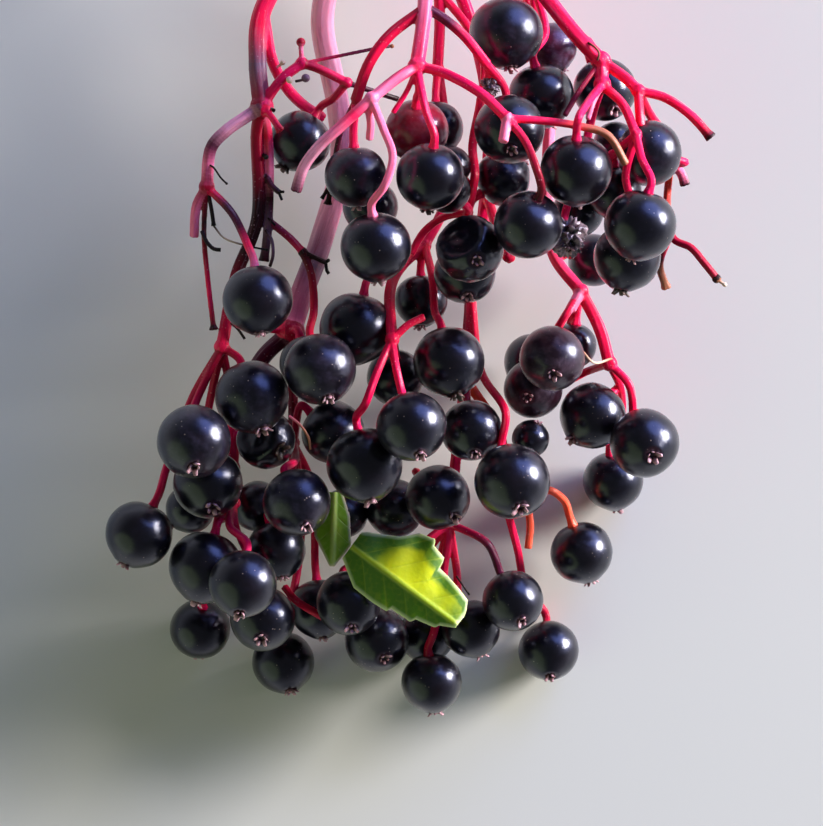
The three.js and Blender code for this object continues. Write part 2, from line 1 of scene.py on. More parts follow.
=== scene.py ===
"""Elderberry cluster: a ripe drooping bunch, cut from its bush and laid down on a table.

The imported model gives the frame: the berries' places and every piece's body. This script gives the
looks: smooth berries with their crowns, stems with knuckles and streaks, dry twiglets and two
toothed leaflets. Lengths are written in millimetres and turned into metres by MM.
"""

import logging
import math
from dataclasses import dataclass
from enum import Enum

import bpy
import numpy as np
from mathutils import Matrix, Quaternion, Vector
from mathutils.kdtree import KDTree


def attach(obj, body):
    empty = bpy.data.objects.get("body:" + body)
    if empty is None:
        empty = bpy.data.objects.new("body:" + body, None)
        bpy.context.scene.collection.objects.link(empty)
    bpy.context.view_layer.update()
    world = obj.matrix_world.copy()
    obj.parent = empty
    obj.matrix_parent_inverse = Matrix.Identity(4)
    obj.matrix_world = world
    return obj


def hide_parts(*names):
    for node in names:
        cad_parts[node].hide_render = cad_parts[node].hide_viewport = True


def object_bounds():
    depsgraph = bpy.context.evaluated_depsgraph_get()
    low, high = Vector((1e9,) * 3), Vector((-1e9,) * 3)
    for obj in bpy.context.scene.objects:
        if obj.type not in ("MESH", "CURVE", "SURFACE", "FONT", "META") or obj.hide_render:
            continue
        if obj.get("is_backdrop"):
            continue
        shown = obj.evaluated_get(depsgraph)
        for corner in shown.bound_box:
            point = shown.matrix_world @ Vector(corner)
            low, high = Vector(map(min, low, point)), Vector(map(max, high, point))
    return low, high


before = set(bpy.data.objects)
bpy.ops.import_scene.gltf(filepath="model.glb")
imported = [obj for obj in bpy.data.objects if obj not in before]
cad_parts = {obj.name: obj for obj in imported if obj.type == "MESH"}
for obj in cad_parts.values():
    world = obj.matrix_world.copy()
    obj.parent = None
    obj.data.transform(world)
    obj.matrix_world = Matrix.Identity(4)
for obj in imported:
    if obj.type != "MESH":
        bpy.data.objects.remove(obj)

LOG = logging.getLogger("elderberry")
MM = 0.001
BODY = "root"
SHARE, FIRST, SECOND, MIXED = 0, 6, 7, 2  # a colour mix's inputs and its output, by number
KNOT_FLOOR = 1e-6                         # keeps a curve's knots apart where two places meet
EASE_SHARE, EASE_ROUNDS = 0.5, 4          # how a melted skin is smoothed

Place = tuple[float, float, float]

# ---- shared tools ---------------------------------------------------------------------------


def linear(colour: str) -> tuple[float, float, float, float]:
    """Turns an sRGB hex colour into linear red, green, blue and alpha.

    Args:
        colour: Six hex digits after a #.

    Returns:
        The four linear values.
    """
    parts = [int(colour[i : i + 2], 16) / 255 for i in (1, 3, 5)]
    red, green, blue = (p / 12.92 if p <= 0.04045 else ((p + 0.055) / 1.055) ** 2.4 for p in parts)
    return red, green, blue, 1.0


def wire(node: bpy.types.Node, links: dict) -> None:
    """Sets or links a node's inputs.

    Args:
        node: The node.
        links: For each input, by name or number, a value or the output that it is linked to.
    """
    for key, value in links.items():
        if isinstance(value, bpy.types.NodeSocket):
            node.id_data.links.new(value, node.inputs[key])
        else:
            node.inputs[key].default_value = value


def add_node(
    tree: bpy.types.NodeTree, kind: str, links: dict | None = None, output: int | str = 0, **settings: object
) -> bpy.types.NodeSocket | None:
    """Adds one node, with its settings and links.

    Args:
        tree: The tree that gets the node.
        kind: The node's type name.
        links: For each input, by name or number, a value or the output that it is linked to.
        output: Which of the new node's outputs to return.
        settings: The node's own properties.

    Returns:
        The chosen output, or None where the node has none.
    """
    node = tree.nodes.new(kind)
    for name, value in settings.items():
        setattr(node, name, value)
    wire(node, links or {})
    return node.outputs[output] if len(node.outputs) else None


def new_tree(name: str, inputs: dict[str, str]) -> tuple[bpy.types.NodeTree, bpy.types.Node]:
    """Starts a Geometry Nodes tree with named inputs.

    Args:
        name: The tree's name.
        inputs: Each input's name and socket type.

    Returns:
        The tree, and the node that its inputs come out of.
    """
    tree = bpy.data.node_groups.new(name, "GeometryNodeTree")
    tree.interface.new_socket("Geometry", in_out="OUTPUT", socket_type="NodeSocketGeometry")
    tree.interface.new_socket("Geometry", in_out="INPUT", socket_type="NodeSocketGeometry")
    for label, kind in inputs.items():
        tree.interface.new_socket(label, in_out="INPUT", socket_type=kind)
    return tree, tree.nodes.new("NodeGroupInput")


def grow(base: bpy.types.Mesh, tree: bpy.types.NodeTree, values: dict, voxel: float = 0.0) -> bpy.types.Mesh:
    """Runs a Geometry Nodes tree on a mesh and gives back a plain mesh.

    Args:
        base: The mesh that the tree starts from.
        tree: The Geometry Nodes tree.
        values: What each named input takes.
        voxel: The size of the cells that melt the result into one skin, or 0 to leave it as it is.

    Returns:
        A new mesh with every modifier applied.
    """
    seed = bpy.data.objects.new("seed", base)
    bpy.context.scene.collection.objects.link(seed)
    modifier = seed.modifiers.new("Rule", "NODES")
    modifier.node_group = tree
    for item in tree.interface.items_tree:
        if item.in_out == "INPUT" and item.name in values:
            modifier[item.identifier] = values[item.name]
    if voxel:
        melt = seed.modifiers.new("Melt", "REMESH")
        melt.mode = "VOXEL"
        melt.voxel_size = voxel
        ease = seed.modifiers.new("Ease", "SMOOTH")
        ease.factor = EASE_SHARE
        ease.iterations = EASE_ROUNDS
    graph = bpy.context.evaluated_depsgraph_get()
    made = bpy.data.meshes.new_from_object(seed.evaluated_get(graph))
    bpy.data.objects.remove(seed)
    return made


def add_piece(name: str, mesh: bpy.types.Mesh, slot: str, stands_for: str | None = None) -> bpy.types.Object:
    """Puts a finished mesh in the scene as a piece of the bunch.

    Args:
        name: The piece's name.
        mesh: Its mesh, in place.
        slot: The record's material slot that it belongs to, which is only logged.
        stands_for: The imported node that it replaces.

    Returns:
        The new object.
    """
    mesh.name = name
    piece = bpy.data.objects.new(name, mesh)
    bpy.context.scene.collection.objects.link(piece)
    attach(piece, BODY)
    if stands_for:
        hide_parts(stands_for)
    LOG.info("%s: %d faces, slot %s", name, len(mesh.polygons), slot)
    return piece


def new_material(name: str) -> tuple[bpy.types.Material, bpy.types.NodeTree, bpy.types.Node]:
    """Starts a material.

    Args:
        name: The material's name.

    Returns:
        The material, its tree and its shader node.
    """
    material = bpy.data.materials.new(name)
    material.use_nodes = True
    return material, material.node_tree, material.node_tree.nodes["Principled BSDF"]


def per(millimetres: float) -> float:
    """Gives the texture scale whose pattern repeats about once in that many millimetres."""
    return 1.0 / (millimetres * MM)


def smooth_route(places: list[Vector], step: float) -> list[Vector]:
    """Draws a smooth curve through some places.

    Args:
        places: The places, at least two.
        step: The distance between two points of the curve.

    Returns:
        The curve's points, from the first place to the last.
    """
    if len(places) == 2:
        count = max(1, round((places[1] - places[0]).length / step))
        return [places[0].lerp(places[1], i / count) for i in range(count + 1)]
    line = [2 * places[0] - places[1], *places, 2 * places[-1] - places[-2]]
    route = [places[0].copy()]
    for a, b, c, d in zip(line, line[1:], line[2:], line[3:]):
        ka = 0.0
        kb = ka + max(KNOT_FLOOR, math.sqrt((b - a).length))
        kc = kb + max(KNOT_FLOOR, math.sqrt((c - b).length))
        kd = kc + max(KNOT_FLOOR, math.sqrt((d - c).length))
        count = max(1, round((c - b).length / step))
        for i in range(1, count + 1):
            t = kb + (kc - kb) * i / count
            ab = a.lerp(b, (t - ka) / (kb - ka))
            bc = b.lerp(c, (t - kb) / (kc - kb))
            cd = c.lerp(d, (t - kc) / (kd - kc))
            abc = ab.lerp(bc, (t - ka) / (kc - ka))
            bcd = bc.lerp(cd, (t - kb) / (kd - kb))
            route.append(abc.lerp(bcd, (t - kb) / (kc - kb)))
    return route


# ---- finishes -------------------------------------------------------------------------------


class Tint(Enum):
    """The colours a stem takes along its length, as sRGB hex. The palest two are partly painted highlights
    and painted sunlight.
    """

    # Partly the stems' own blush, partly painted highlights and painted sunlight.
    BLUSH_AND_PAINTED_LIGHT = "#ffa8c6"
    # Partly the stems' own pale pink, partly painted highlights.
    PALE_AND_HIGHLIGHT = "#ff7ba4"
    PINK = "#ff1658"
    MAGENTA = "#e80558"
    RED = "#f00545"
    CRIMSON = "#a8042f"
    PLUM = "#4e0b2e"
    LILAC = "#7b5a72"
    DARK = "#2c0a10"
    BLACK = "#100a09"
    TAN = "#a5694f"
    SALMON = "#ee5a3c"
    CREAM = "#e8cdb8"


@dataclass(frozen=True)
class BerrySkin:
    """Elderberry skin, a thin cuticle over dark pulp: glossy, with a dusting of blue-grey wax."""

    name: str
    flesh: str            # the pulp's colour through the skin
    blush: str            # clouds of a warmer colour in it
    bloom_and_glints: str              # the bloom; on the dried skin partly painted glints
    dusting: float        # how much of the skin the bloom covers
    roughness: float
    gloss: float          # weight of the clear outer layer
    fray: float           # how much its scuffs rough up the outer layer
    specks: float         # how plainly its pale pores show

    PORE = "#b9a7a0"
    CROWN_END = "#3a1a22"
    STEM_END = "#5a1226"
    SHEEN = "#aab4f2"     # the blue that the bloom gives the skin's shine
    WAX_ROUGHNESS = 0.35  # how much a full dusting of bloom roughens the skin

    def make(self) -> bpy.types.Material:
        """Builds the material."""
        material, tree, shader = new_material(self.name)
        place = add_node(tree, "ShaderNodeTexCoord", output="Object")
        tone = add_node(tree, "ShaderNodeAttribute", output="Fac", attribute_name="tone")
        polar = add_node(tree, "ShaderNodeAttribute", output="Fac", attribute_name="polar")
        clouds = add_node(tree, "ShaderNodeTexNoise", {"Vector": place, "Scale": per(2.6), "Detail": 3.0})
        warm = add_node(tree, "ShaderNodeMapRange", {0: clouds, 1: 0.42, 2: 0.72, 3: 0.0, 4: 0.85})
        # The wax lies in soft patches that are rubbed thin, and thicker on some berries than on others; on
        # the dried skin they are partly painted glints.
        patches = add_node(
            tree, "ShaderNodeTexNoise", {"Vector": place, "Scale": per(1.5), "Detail": 7.0, "Roughness": 0.62}
        )
        cover = add_node(tree, "ShaderNodeMapRange", {0: patches, 1: 0.4, 2: 0.78, 3: 0.0, 4: self.dusting})
        dust_and_glints = add_node(tree, "ShaderNodeMath", {0: cover, 1: tone}, operation="MULTIPLY")
        # Pale pores about 0.1 mm across, some 0.6 mm apart, and only here and there.
        pores = add_node(tree, "ShaderNodeTexVoronoi", {"Vector": place, "Scale": per(0.6)}, "Distance")
        pore = add_node(tree, "ShaderNodeMapRange", {0: pores, 1: 0.05, 2: 0.12, 3: 1.0, 4: 0.0})
        where = add_node(tree, "ShaderNodeTexNoise", {"Vector": place, "Scale": per(1.9)})
        gate = add_node(tree, "ShaderNodeMapRange", {0: where, 1: 0.46, 2: 0.56, 3: 0.0, 4: self.specks})
        dots = add_node(tree, "ShaderNodeMath", {0: pore, 1: gate}, operation="MULTIPLY")
        # The skin browns round the crown and reddens where the pedicel sits.
        crownward = add_node(tree, "ShaderNodeMapRange", {0: polar, 1: 0.03, 2: 0.1, 3: 0.75, 4: 0.0})
        stemward = add_node(tree, "ShaderNodeMapRange", {0: polar, 1: 0.9, 2: 0.98, 3: 0.0, 4: 0.8})
        colour = linear(self.flesh)
        for share, over in (
            (warm, self.blush), (dust_and_glints, self.bloom_and_glints), (dots, self.PORE), (crownward, self.CROWN_END),
            (stemward, self.STEM_END),
        ):
            colour = add_node(
                tree, "ShaderNodeMix", {SHARE: share, FIRST: colour, SECOND: linear(over)}, MIXED,
                data_type="RGBA",
            )
        dulled = add_node(
            tree, "ShaderNodeMath", {0: dust_and_glints, 1: self.WAX_ROUGHNESS, 2: self.roughness},
            operation="MULTIPLY_ADD",
        )
        # Fine crazing, about 0.18 mm, and shallow hollows, about 1 mm.
        crazing = add_node(
            tree, "ShaderNodeTexNoise", {"Vector": place, "Scale": per(0.18), "Detail": 4.0, "Roughness": 0.6}
        )
        hollows = add_node(tree, "ShaderNodeTexNoise", {"Vector": place, "Scale": per(1.1), "Detail": 2.0})
        relief = add_node(tree, "ShaderNodeMath", {0: hollows, 1: 2.0, 2: crazing}, operation="MULTIPLY_ADD")
        bump = add_node(tree, "ShaderNodeBump", {"Height": relief, "Strength": 0.35, "Distance": 0.02 * MM})
        # Scuffs about 0.45 mm long in the clear outer layer fray its highlight.
        scuffs = add_node(
            tree, "ShaderNodeTexNoise",
            {"Vector": place, "Scale": per(0.45), "Detail": 6.0, "Roughness": 0.7, "Distortion": 2.0},
        )
        film = add_node(
            tree, "ShaderNodeBump", {"Height": scuffs, "Strength": self.fray, "Distance": 0.07 * MM}
        )
        wire(shader, {
            "Base Color": colour, "Roughness": dulled, "Normal": bump, "Coat Normal": film,
            "IOR": 1.45, "Specular Tint": linear(self.SHEEN),
            "Coat Weight": self.gloss, "Coat Roughness": 0.09, "Coat IOR": 1.42,
        })
        return material


class Skin(Enum):
    """The skins that the berries of a bunch have as they ripen."""

    GLOSSY = BerrySkin("ripe skin", "#040304", "#10080a", "#25253a", 0.16, 0.33, 0.9, 0.25, 0.5)
    DUSTY = BerrySkin("ripe skin with bloom", "#060508", "#160b12", "#57506c", 0.22, 0.32, 0.95, 0.38, 0.9)
    PURPLE = BerrySkin("purple skin", "#2c0f1c", "#47162a", "#8f7fa6", 0.45, 0.36, 0.8, 0.3, 0.4)
    MAROON = BerrySkin("maroon skin", "#16070c", "#2c0e18", "#6b5566", 0.35, 0.34, 0.85, 0.35, 0.4)
    RED = BerrySkin("unripe red skin", "#6e0418", "#9c0a2c", "#d9a3b4", 0.1, 0.3, 0.9, 0.2, 0.2)
    # Painted glints: the dried skin's pale pink bloom over all of it is partly dust and partly the sparkle of
    # light on its wrinkles.
    DRIED = BerrySkin("dried skin", "#0c090c", "#2a1a20", "#e2c4d2", 1.0, 0.26, 1.0, 0.8, 1.0)


@dataclass(frozen=True)
class CalyxHusk:
    """Dried calyx lobes: papery tips of the flower that stay on the berry, pink to tan."""

    name: str
    root: str
    tip: str

    def make(self) -> bpy.types.Material:
        """Builds the material."""
        material, tree, shader = new_material(self.name)
        place = add_node(tree, "ShaderNodeTexCoord", output="Object")
        reach = add_node(tree, "ShaderNodeAttribute", output="Fac", attribute_name="reach")
        grain = add_node(tree, "ShaderNodeTexNoise", {"Vector": place, "Scale": per(0.35), "Detail": 4.0})
        share = add_node(tree, "ShaderNodeMath", {0: reach, 1: grain}, operation="MULTIPLY")
        spread = add_node(tree, "ShaderNodeMapRange", {0: share, 1: 0.08, 2: 0.5, 3: 0.0, 4: 1.0})
        colour = add_node(
            tree, "ShaderNodeMix",
            {SHARE: spread, FIRST: linear(self.root), SECOND: linear(self.tip)}, MIXED, data_type="RGBA",
        )
        bump = add_node(tree, "ShaderNodeBump", {"Height": grain, "Strength": 0.5, "Distance": 0.03 * MM})
        wire(shader, {
            "Base Color": colour, "Roughness": 0.5, "Normal": bump,
            "Subsurface Weight": 0.1, "Subsurface Scale": 0.2 * MM,
        })
        return material


@dataclass(frozen=True)
class StemSkin:
    """Elder stem skin: smooth green wood flushed pink to purple, finely ridged, with pale pores. Its palest
    tints are partly painted highlights.
    """

    name: str
    pores: str
    streak: str
    roughness: float
    glow: float           # how much light the flesh lets through

    def make(self) -> bpy.types.Material:
        """Builds the material."""
        material, tree, shader = new_material(self.name)
        place = add_node(tree, "ShaderNodeTexCoord", output="Object")
        tint = add_node(tree, "ShaderNodeAttribute", output="Color", attribute_name="tint")
        grain = add_node(tree, "ShaderNodeAttribute", output="Vector", attribute_name="grain")
        # Streaks some 0.4 mm apart that run along the stem. The grain is already drawn out lengthwise.
        streaks = add_node(
            tree, "ShaderNodeTexNoise", {"Vector": grain, "Scale": per(0.42), "Detail": 4.0, "Roughness": 0.6}
        )
        dark = add_node(tree, "ShaderNodeMapRange", {0: streaks, 1: 0.5, 2: 0.75, 3: 0.0, 4: 0.55})
        light = add_node(tree, "ShaderNodeMapRange", {0: streaks, 1: 0.44, 2: 0.28, 3: 0.0, 4: 0.16})
        # Pores of 0.1 to 0.2 mm, drawn as coarse as they need to show.
        spots = add_node(tree, "ShaderNodeTexVoronoi", {"Vector": place, "Scale": per(0.42)}, "Distance")
        spot = add_node(tree, "ShaderNodeMapRange", {0: spots, 1: 0.1, 2: 0.22, 3: 0.28, 4: 0.0})
        where = add_node(tree, "ShaderNodeTexNoise", {"Vector": place, "Scale": per(3.0), "Detail": 2.0})
        gate = add_node(tree, "ShaderNodeMapRange", {0: where, 1: 0.45, 2: 0.6})
        dots = add_node(tree, "ShaderNodeMath", {0: spot, 1: gate}, operation="MULTIPLY")
        colour = tint
        for share, over in ((dark, self.streak), (light, self.pores), (dots, self.pores)):
            colour = add_node(
                tree, "ShaderNodeMix", {SHARE: share, FIRST: colour, SECOND: linear(over)}, MIXED,
                data_type="RGBA",
            )
        rough = add_node(
            tree, "ShaderNodeMapRange", {0: streaks, 3: self.roughness - 0.1, 4: self.roughness + 0.15}
        )
        height = add_node(tree, "ShaderNodeMath", {0: dots, 1: 0.5, 2: streaks}, operation="MULTIPLY_ADD")
        bump = add_node(tree, "ShaderNodeBump", {"Height": height, "Strength": 0.6, "Distance": 0.06 * MM})
        wire(shader, {
            "Base Color": colour, "Roughness": rough, "Normal": bump,
            "IOR": 1.42, "Specular IOR Level": 0.25, "Coat Weight": 0.1, "Coat Roughness": 0.2,
            "Subsurface Weight": self.glow, "Subsurface Radius": (1.0, 0.25, 0.3),
            "Subsurface Scale": 0.5 * MM,
        })
        return material


@dataclass(frozen=True)
class CutWood:
    """A fresh cut through young elder wood: a wide pale pith, a ring of wood and a green rim."""

    name: str = "cut wood"
    pith: str = "#efe7d6"
    wood: str = "#cfc386"
    rim: str = "#72803c"

    def make(self) -> bpy.types.Material:
        """Builds the material."""
        material, tree, shader = new_material(self.name)
        place = add_node(tree, "ShaderNodeTexCoord", output="Object")
        radial = add_node(tree, "ShaderNodeAttribute", output="Fac", attribute_name="radial")
        fibres = add_node(tree, "ShaderNodeTexNoise", {"Vector": place, "Scale": per(0.2), "Detail": 3.0})
        wavered = add_node(tree, "ShaderNodeMath", {0: fibres, 1: 0.15, 2: radial}, operation="MULTIPLY_ADD")
        woody = add_node(tree, "ShaderNodeMapRange", {0: wavered, 1: 0.56, 2: 0.64, 3: 0.0, 4: 1.0})
        barky = add_node(tree, "ShaderNodeMapRange", {0: wavered, 1: 0.92, 2: 0.98, 3: 0.0, 4: 1.0})
        colour = linear(self.pith)
        for share, over in ((woody, self.wood), (barky, self.rim)):
            colour = add_node(
                tree, "ShaderNodeMix", {SHARE: share, FIRST: colour, SECOND: linear(over)}, MIXED,
                data_type="RGBA",
            )
        bump = add_node(tree, "ShaderNodeBump", {"Height": fibres, "Strength": 0.5, "Distance": 0.05 * MM})
        wire(shader, {"Base Color": colour, "Roughness": 0.65, "Normal": bump})
        return material


@dataclass(frozen=True)
class LeafBlade:
    """Fresh elder leaf: a thin matt blade, paler at its veins, with painted sunlight: yellow-green as though
    light came through.
    """

    name: str
    lit: str              # the painted sunlight, where light seems to come through
    shaded: str           # the rest
    vein: str
    margin: str

    def make(self) -> bpy.types.Material:
        """Builds the material."""
        material, tree, shader = new_material(self.name)
        place = add_node(tree, "ShaderNodeTexCoord", output="Object")
        sunlit = add_node(tree, "ShaderNodeAttribute", output="Fac", attribute_name="sunlit")
        vein = add_node(tree, "ShaderNodeAttribute", output="Fac", attribute_name="vein")
        edge = add_node(tree, "ShaderNodeAttribute", output="Fac", attribute_name="edge")
        clouds = add_node(tree, "ShaderNodeTexNoise", {"Vector": place, "Scale": per(2.2), "Detail": 4.0})
        cells = add_node(tree, "ShaderNodeTexVoronoi", {"Vector": place, "Scale": per(0.45)}, "Distance")
        # Painted sunlight: the blade turns bright yellow-green where the sunlit mask is high, with ragged
        # edges.
        ragged = add_node(tree, "ShaderNodeMath", {0: clouds, 1: 0.9, 2: sunlit}, operation="MULTIPLY_ADD")
        painted_sunlight = add_node(tree, "ShaderNodeMapRange", {0: ragged, 1: 0.55, 2: 1.15, 3: 0.0, 4: 1.0})
        net = add_node(tree, "ShaderNodeMapRange", {0: cells, 1: 0.5, 2: 0.75, 3: 0.0, 4: 0.12})
        colour = linear(self.shaded)
        for share, over in (
            (painted_sunlight, self.lit), (net, self.vein), (vein, self.vein), (edge, self.margin)
        ):
            colour = add_node(
                tree, "ShaderNodeMix", {SHARE: share, FIRST: colour, SECOND: linear(over)}, MIXED,
                data_type="RGBA",
            )
        bump = add_node(tree, "ShaderNodeBump", {"Height": cells, "Strength": 0.35, "Distance": 0.05 * MM})
        wire(shader, {
            "Base Color": colour, "Roughness": 0.5, "Normal": bump, "Specular IOR Level": 0.3,
            "Subsurface Weight": 0.35, "Subsurface Radius": (0.6, 1.0, 0.1),
            "Subsurface Scale": 0.5 * MM,
        })
        return material


@dataclass(frozen=True)
class TableTop:
    """Pale matt laminate: an even surface with a faint tooth."""

    name: str = "pale laminate"
    colour: str = "#e0dfdb"

    def make(self) -> bpy.types.Material:
        """Builds the material."""
        material, tree, shader = new_material(self.name)
        place = add_node(tree, "ShaderNodeTexCoord", output="Object")
        tooth = add_node(tree, "ShaderNodeTexNoise", {"Vector": place, "Scale": per(1.2), "Detail": 2.0})
        bump = add_node(tree, "ShaderNodeBump", {"Height": tooth, "Strength": 0.1, "Distance": 0.02 * MM})
        wire(shader, {"Base Color": linear(self.colour), "Roughness": 0.7, "Normal": bump})
        return material


class Husk(Enum):
    """The states of the calyx lobes."""

    PINK = CalyxHusk("pink calyx", "#3a141f", "#cfa0ac")
    DRY = CalyxHusk("dry calyx", "#0c0809", "#5f4a44")


GREEN_WOOD = StemSkin("flushed stem skin", "#ffc9d6", "#7a0630", 0.42, 0.3)
DEAD_WOOD = StemSkin("dead twig skin", "#8c7468", "#1a0f12", 0.6, 0.0)
YOUNG_BARK = StemSkin("young stalk bark", "#c79aa0", "#3a1020", 0.5, 0.1)
BRIGHT_BLADE = LeafBlade("young leaf blade", "#c6cf00", "#4c7a10", "#a3b828", "#cfdca6")
DULL_BLADE = LeafBlade("shaded leaf blade", "#8fb02c", "#6f9a1a", "#a9c060", "#cdbfae")

# ---- berries --------------------------------------------------------------------------------


class Form(Enum):
    """How full a berry is: lumps, wrinkles and dent, each as a share of its radius."""

    ROUND = (0.05, 0.0, 0.0)
    DENTED = (0.06, 0.03, 0.3)
    SHRIVELLED = (0.2, 0.5, 0.2)


class Crown(Enum):
    """The crown of calyx lobes: number of lobes, their length in radii, how far they spread, husk."""

    PINK = (5, 0.2, 0.12, Husk.PINK)
    DRY = (6, 0.24, 0.2, Husk.DRY)


class BerryRule:
    """The rule that every berry's shape follows, as a Geometry Nodes tree: a skin and its crown."""

    INPUTS = {
        "Radius": "NodeSocketFloat",
        "Seed": "NodeSocketInt",
        "Lumps": "NodeSocketFloat",
        "Wrinkles": "NodeSocketFloat",
        "Dent": "NodeSocketFloat",
        "Lobes": "NodeSocketInt",
        "Lobe length": "NodeSocketFloat",
        "Lobe spread": "NodeSocketFloat",
        "Skin": "NodeSocketMaterial",
        "Husk": "NodeSocketMaterial",
    }
    SEGMENTS = 56
    RINGS = 40
    LUMP_GRAIN = 1.1      # how many lumps there are to a radius
    CREASE_GRAIN = 2.6    # how many creases there are to a radius
    SEED_STEP = 7.31      # how far apart two berries lie in the noise that shapes them
    DENT_WAY = (0.92, 0.1, 0.38)
    TONES = (0.35, 1.3)   # the least and the most bloom on a berry
    RING_RADIUS = 0.105   # of the ring that the lobes stand on
    CROWN_HEIGHT = 0.95
    LOBE_ENDS = (0.28, 0.52)
    LOBE_THINNESS = 0.45
    LOBE_CURL = 0.28
    LOBE_JITTER = 0.3     # how far a lobe turns out of line, in radians
    LOBE_SWAY = 1.2       # how much further it sways in and out
    LOBE_SIZES = (0.5, 1.15)
    # Reach from the middle, in halves of a radius, from the crown (0) to the stem dimple (1).
    OUTLINE = (
        (0.0, 0.45), (0.035, 0.475), (0.06, 0.512), (0.085, 0.515), (0.14, 0.502), (0.3, 0.5),
        (0.5, 0.5), (0.75, 0.492), (0.88, 0.475), (0.95, 0.452), (1.0, 0.43),
    )

    def __init__(self) -> None:
        """Builds the tree."""
        self.tree, self.inlet = new_tree("Berry rule", self.INPUTS)
        skin = self._skin()
        crown = self._crown()
        joined = add_node(self.tree, "GeometryNodeJoinGeometry", {0: skin})
        self.tree.links.new(crown, joined.node.inputs[0])
        solid = add_node(self.tree, "GeometryNodeRealizeInstances", {0: joined})
        size = self.inlet.outputs["Radius"]
        grown = add_node(self.tree, "GeometryNodeTransform", {"Geometry": solid, "Scale": size})
        smooth = add_node(self.tree, "GeometryNodeSetShadeSmooth", {0: grown})
        add_node(self.tree, "NodeGroupOutput", {0: smooth})

    def _skin(self) -> bpy.types.NodeSocket:
        """Draws the berry's skin at a radius of 1, its crown end up."""
        tree, inlet = self.tree, self.inlet
        ball = add_node(
            tree, "GeometryNodeMeshUVSphere",
            {"Segments": self.SEGMENTS, "Rings": self.RINGS, "Radius": 1.0},
        )
        place = add_node(tree, "GeometryNodeInputPosition")
        height = add_node(tree, "ShaderNodeSeparateXYZ", {0: place}, "Z")
        angle = add_node(tree, "ShaderNodeMath", {0: height}, operation="ARCCOSINE")
        polar = add_node(tree, "ShaderNodeMath", {0: angle, 1: math.pi}, operation="DIVIDE")
        outline = add_node(tree, "ShaderNodeFloatCurve", {"Factor": 1.0, "Value": polar})
        self._draw(outline.node, self.OUTLINE)
        reach = add_node(tree, "ShaderNodeMath", {0: outline, 1: 2.0}, operation="MULTIPLY")
        shift = add_node(
            tree, "ShaderNodeMath", {0: inlet.outputs["Seed"], 1: self.SEED_STEP}, operation="MULTIPLY"
        )
        moved = add_node(tree, "ShaderNodeVectorMath", {0: place, 1: shift}, operation="ADD")
        swell = add_node(
            tree, "ShaderNodeTexNoise", {"Vector": moved, "Scale": self.LUMP_GRAIN, "Detail": 1.0}
        )
        swelling = add_node(tree, "ShaderNodeMath", {0: swell, 1: -0.5}, operation="ADD")
        lumps = add_node(
            tree, "ShaderNodeMath", {0: swelling, 1: inlet.outputs["Lumps"], 2: reach},
            operation="MULTIPLY_ADD",
        )
        crease = add_node(
            tree, "ShaderNodeTexNoise",
            {"Vector": moved, "Scale": self.CREASE_GRAIN, "Detail": 3.0, "Distortion": 0.5},
        )
        depth = add_node(tree, "ShaderNodeMapRange", {0: crease, 1: 0.35, 2: 0.65, 3: -1.0, 4: 0.1})
        lined = add_node(
            tree, "ShaderNodeMath", {0: depth, 1: inlet.outputs["Wrinkles"], 2: lumps},
            operation="MULTIPLY_ADD",
        )
        facing = add_node(
            tree, "ShaderNodeVectorMath", {0: place, 1: self.DENT_WAY}, "Value", operation="DOT_PRODUCT"
        )
        hollow = add_node(
            tree, "ShaderNodeMapRange", {0: facing, 1: 0.55, 2: 1.0}, interpolation_type="SMOOTHERSTEP"
        )
        pushed = add_node(tree, "ShaderNodeMath", {0: hollow, 1: inlet.outputs["Dent"]}, operation="MULTIPLY")
        final = add_node(tree, "ShaderNodeMath", {0: lined, 1: pushed}, operation="SUBTRACT")
        spot = add_node(tree, "ShaderNodeVectorMath", {0: place, "Scale": final}, operation="SCALE")
        tone = add_node(
            tree, "FunctionNodeRandomValue",
            {2: self.TONES[0], 3: self.TONES[1], "ID": 0, "Seed": inlet.outputs["Seed"]}, 1,
            data_type="FLOAT",
        )
        kept = add_node(
            tree, "GeometryNodeStoreNamedAttribute", {"Geometry": ball, "Name": "polar", "Value": polar}
        )
        toned = add_node(
            tree, "GeometryNodeStoreNamedAttribute", {"Geometry": kept, "Name": "tone", "Value": tone}
        )
        shaped = add_node(tree, "GeometryNodeSetPosition", {"Geometry": toned, "Position": spot})
        return add_node(
            tree, "GeometryNodeSetMaterial", {"Geometry": shaped, "Material": inlet.outputs["Skin"]}
        )

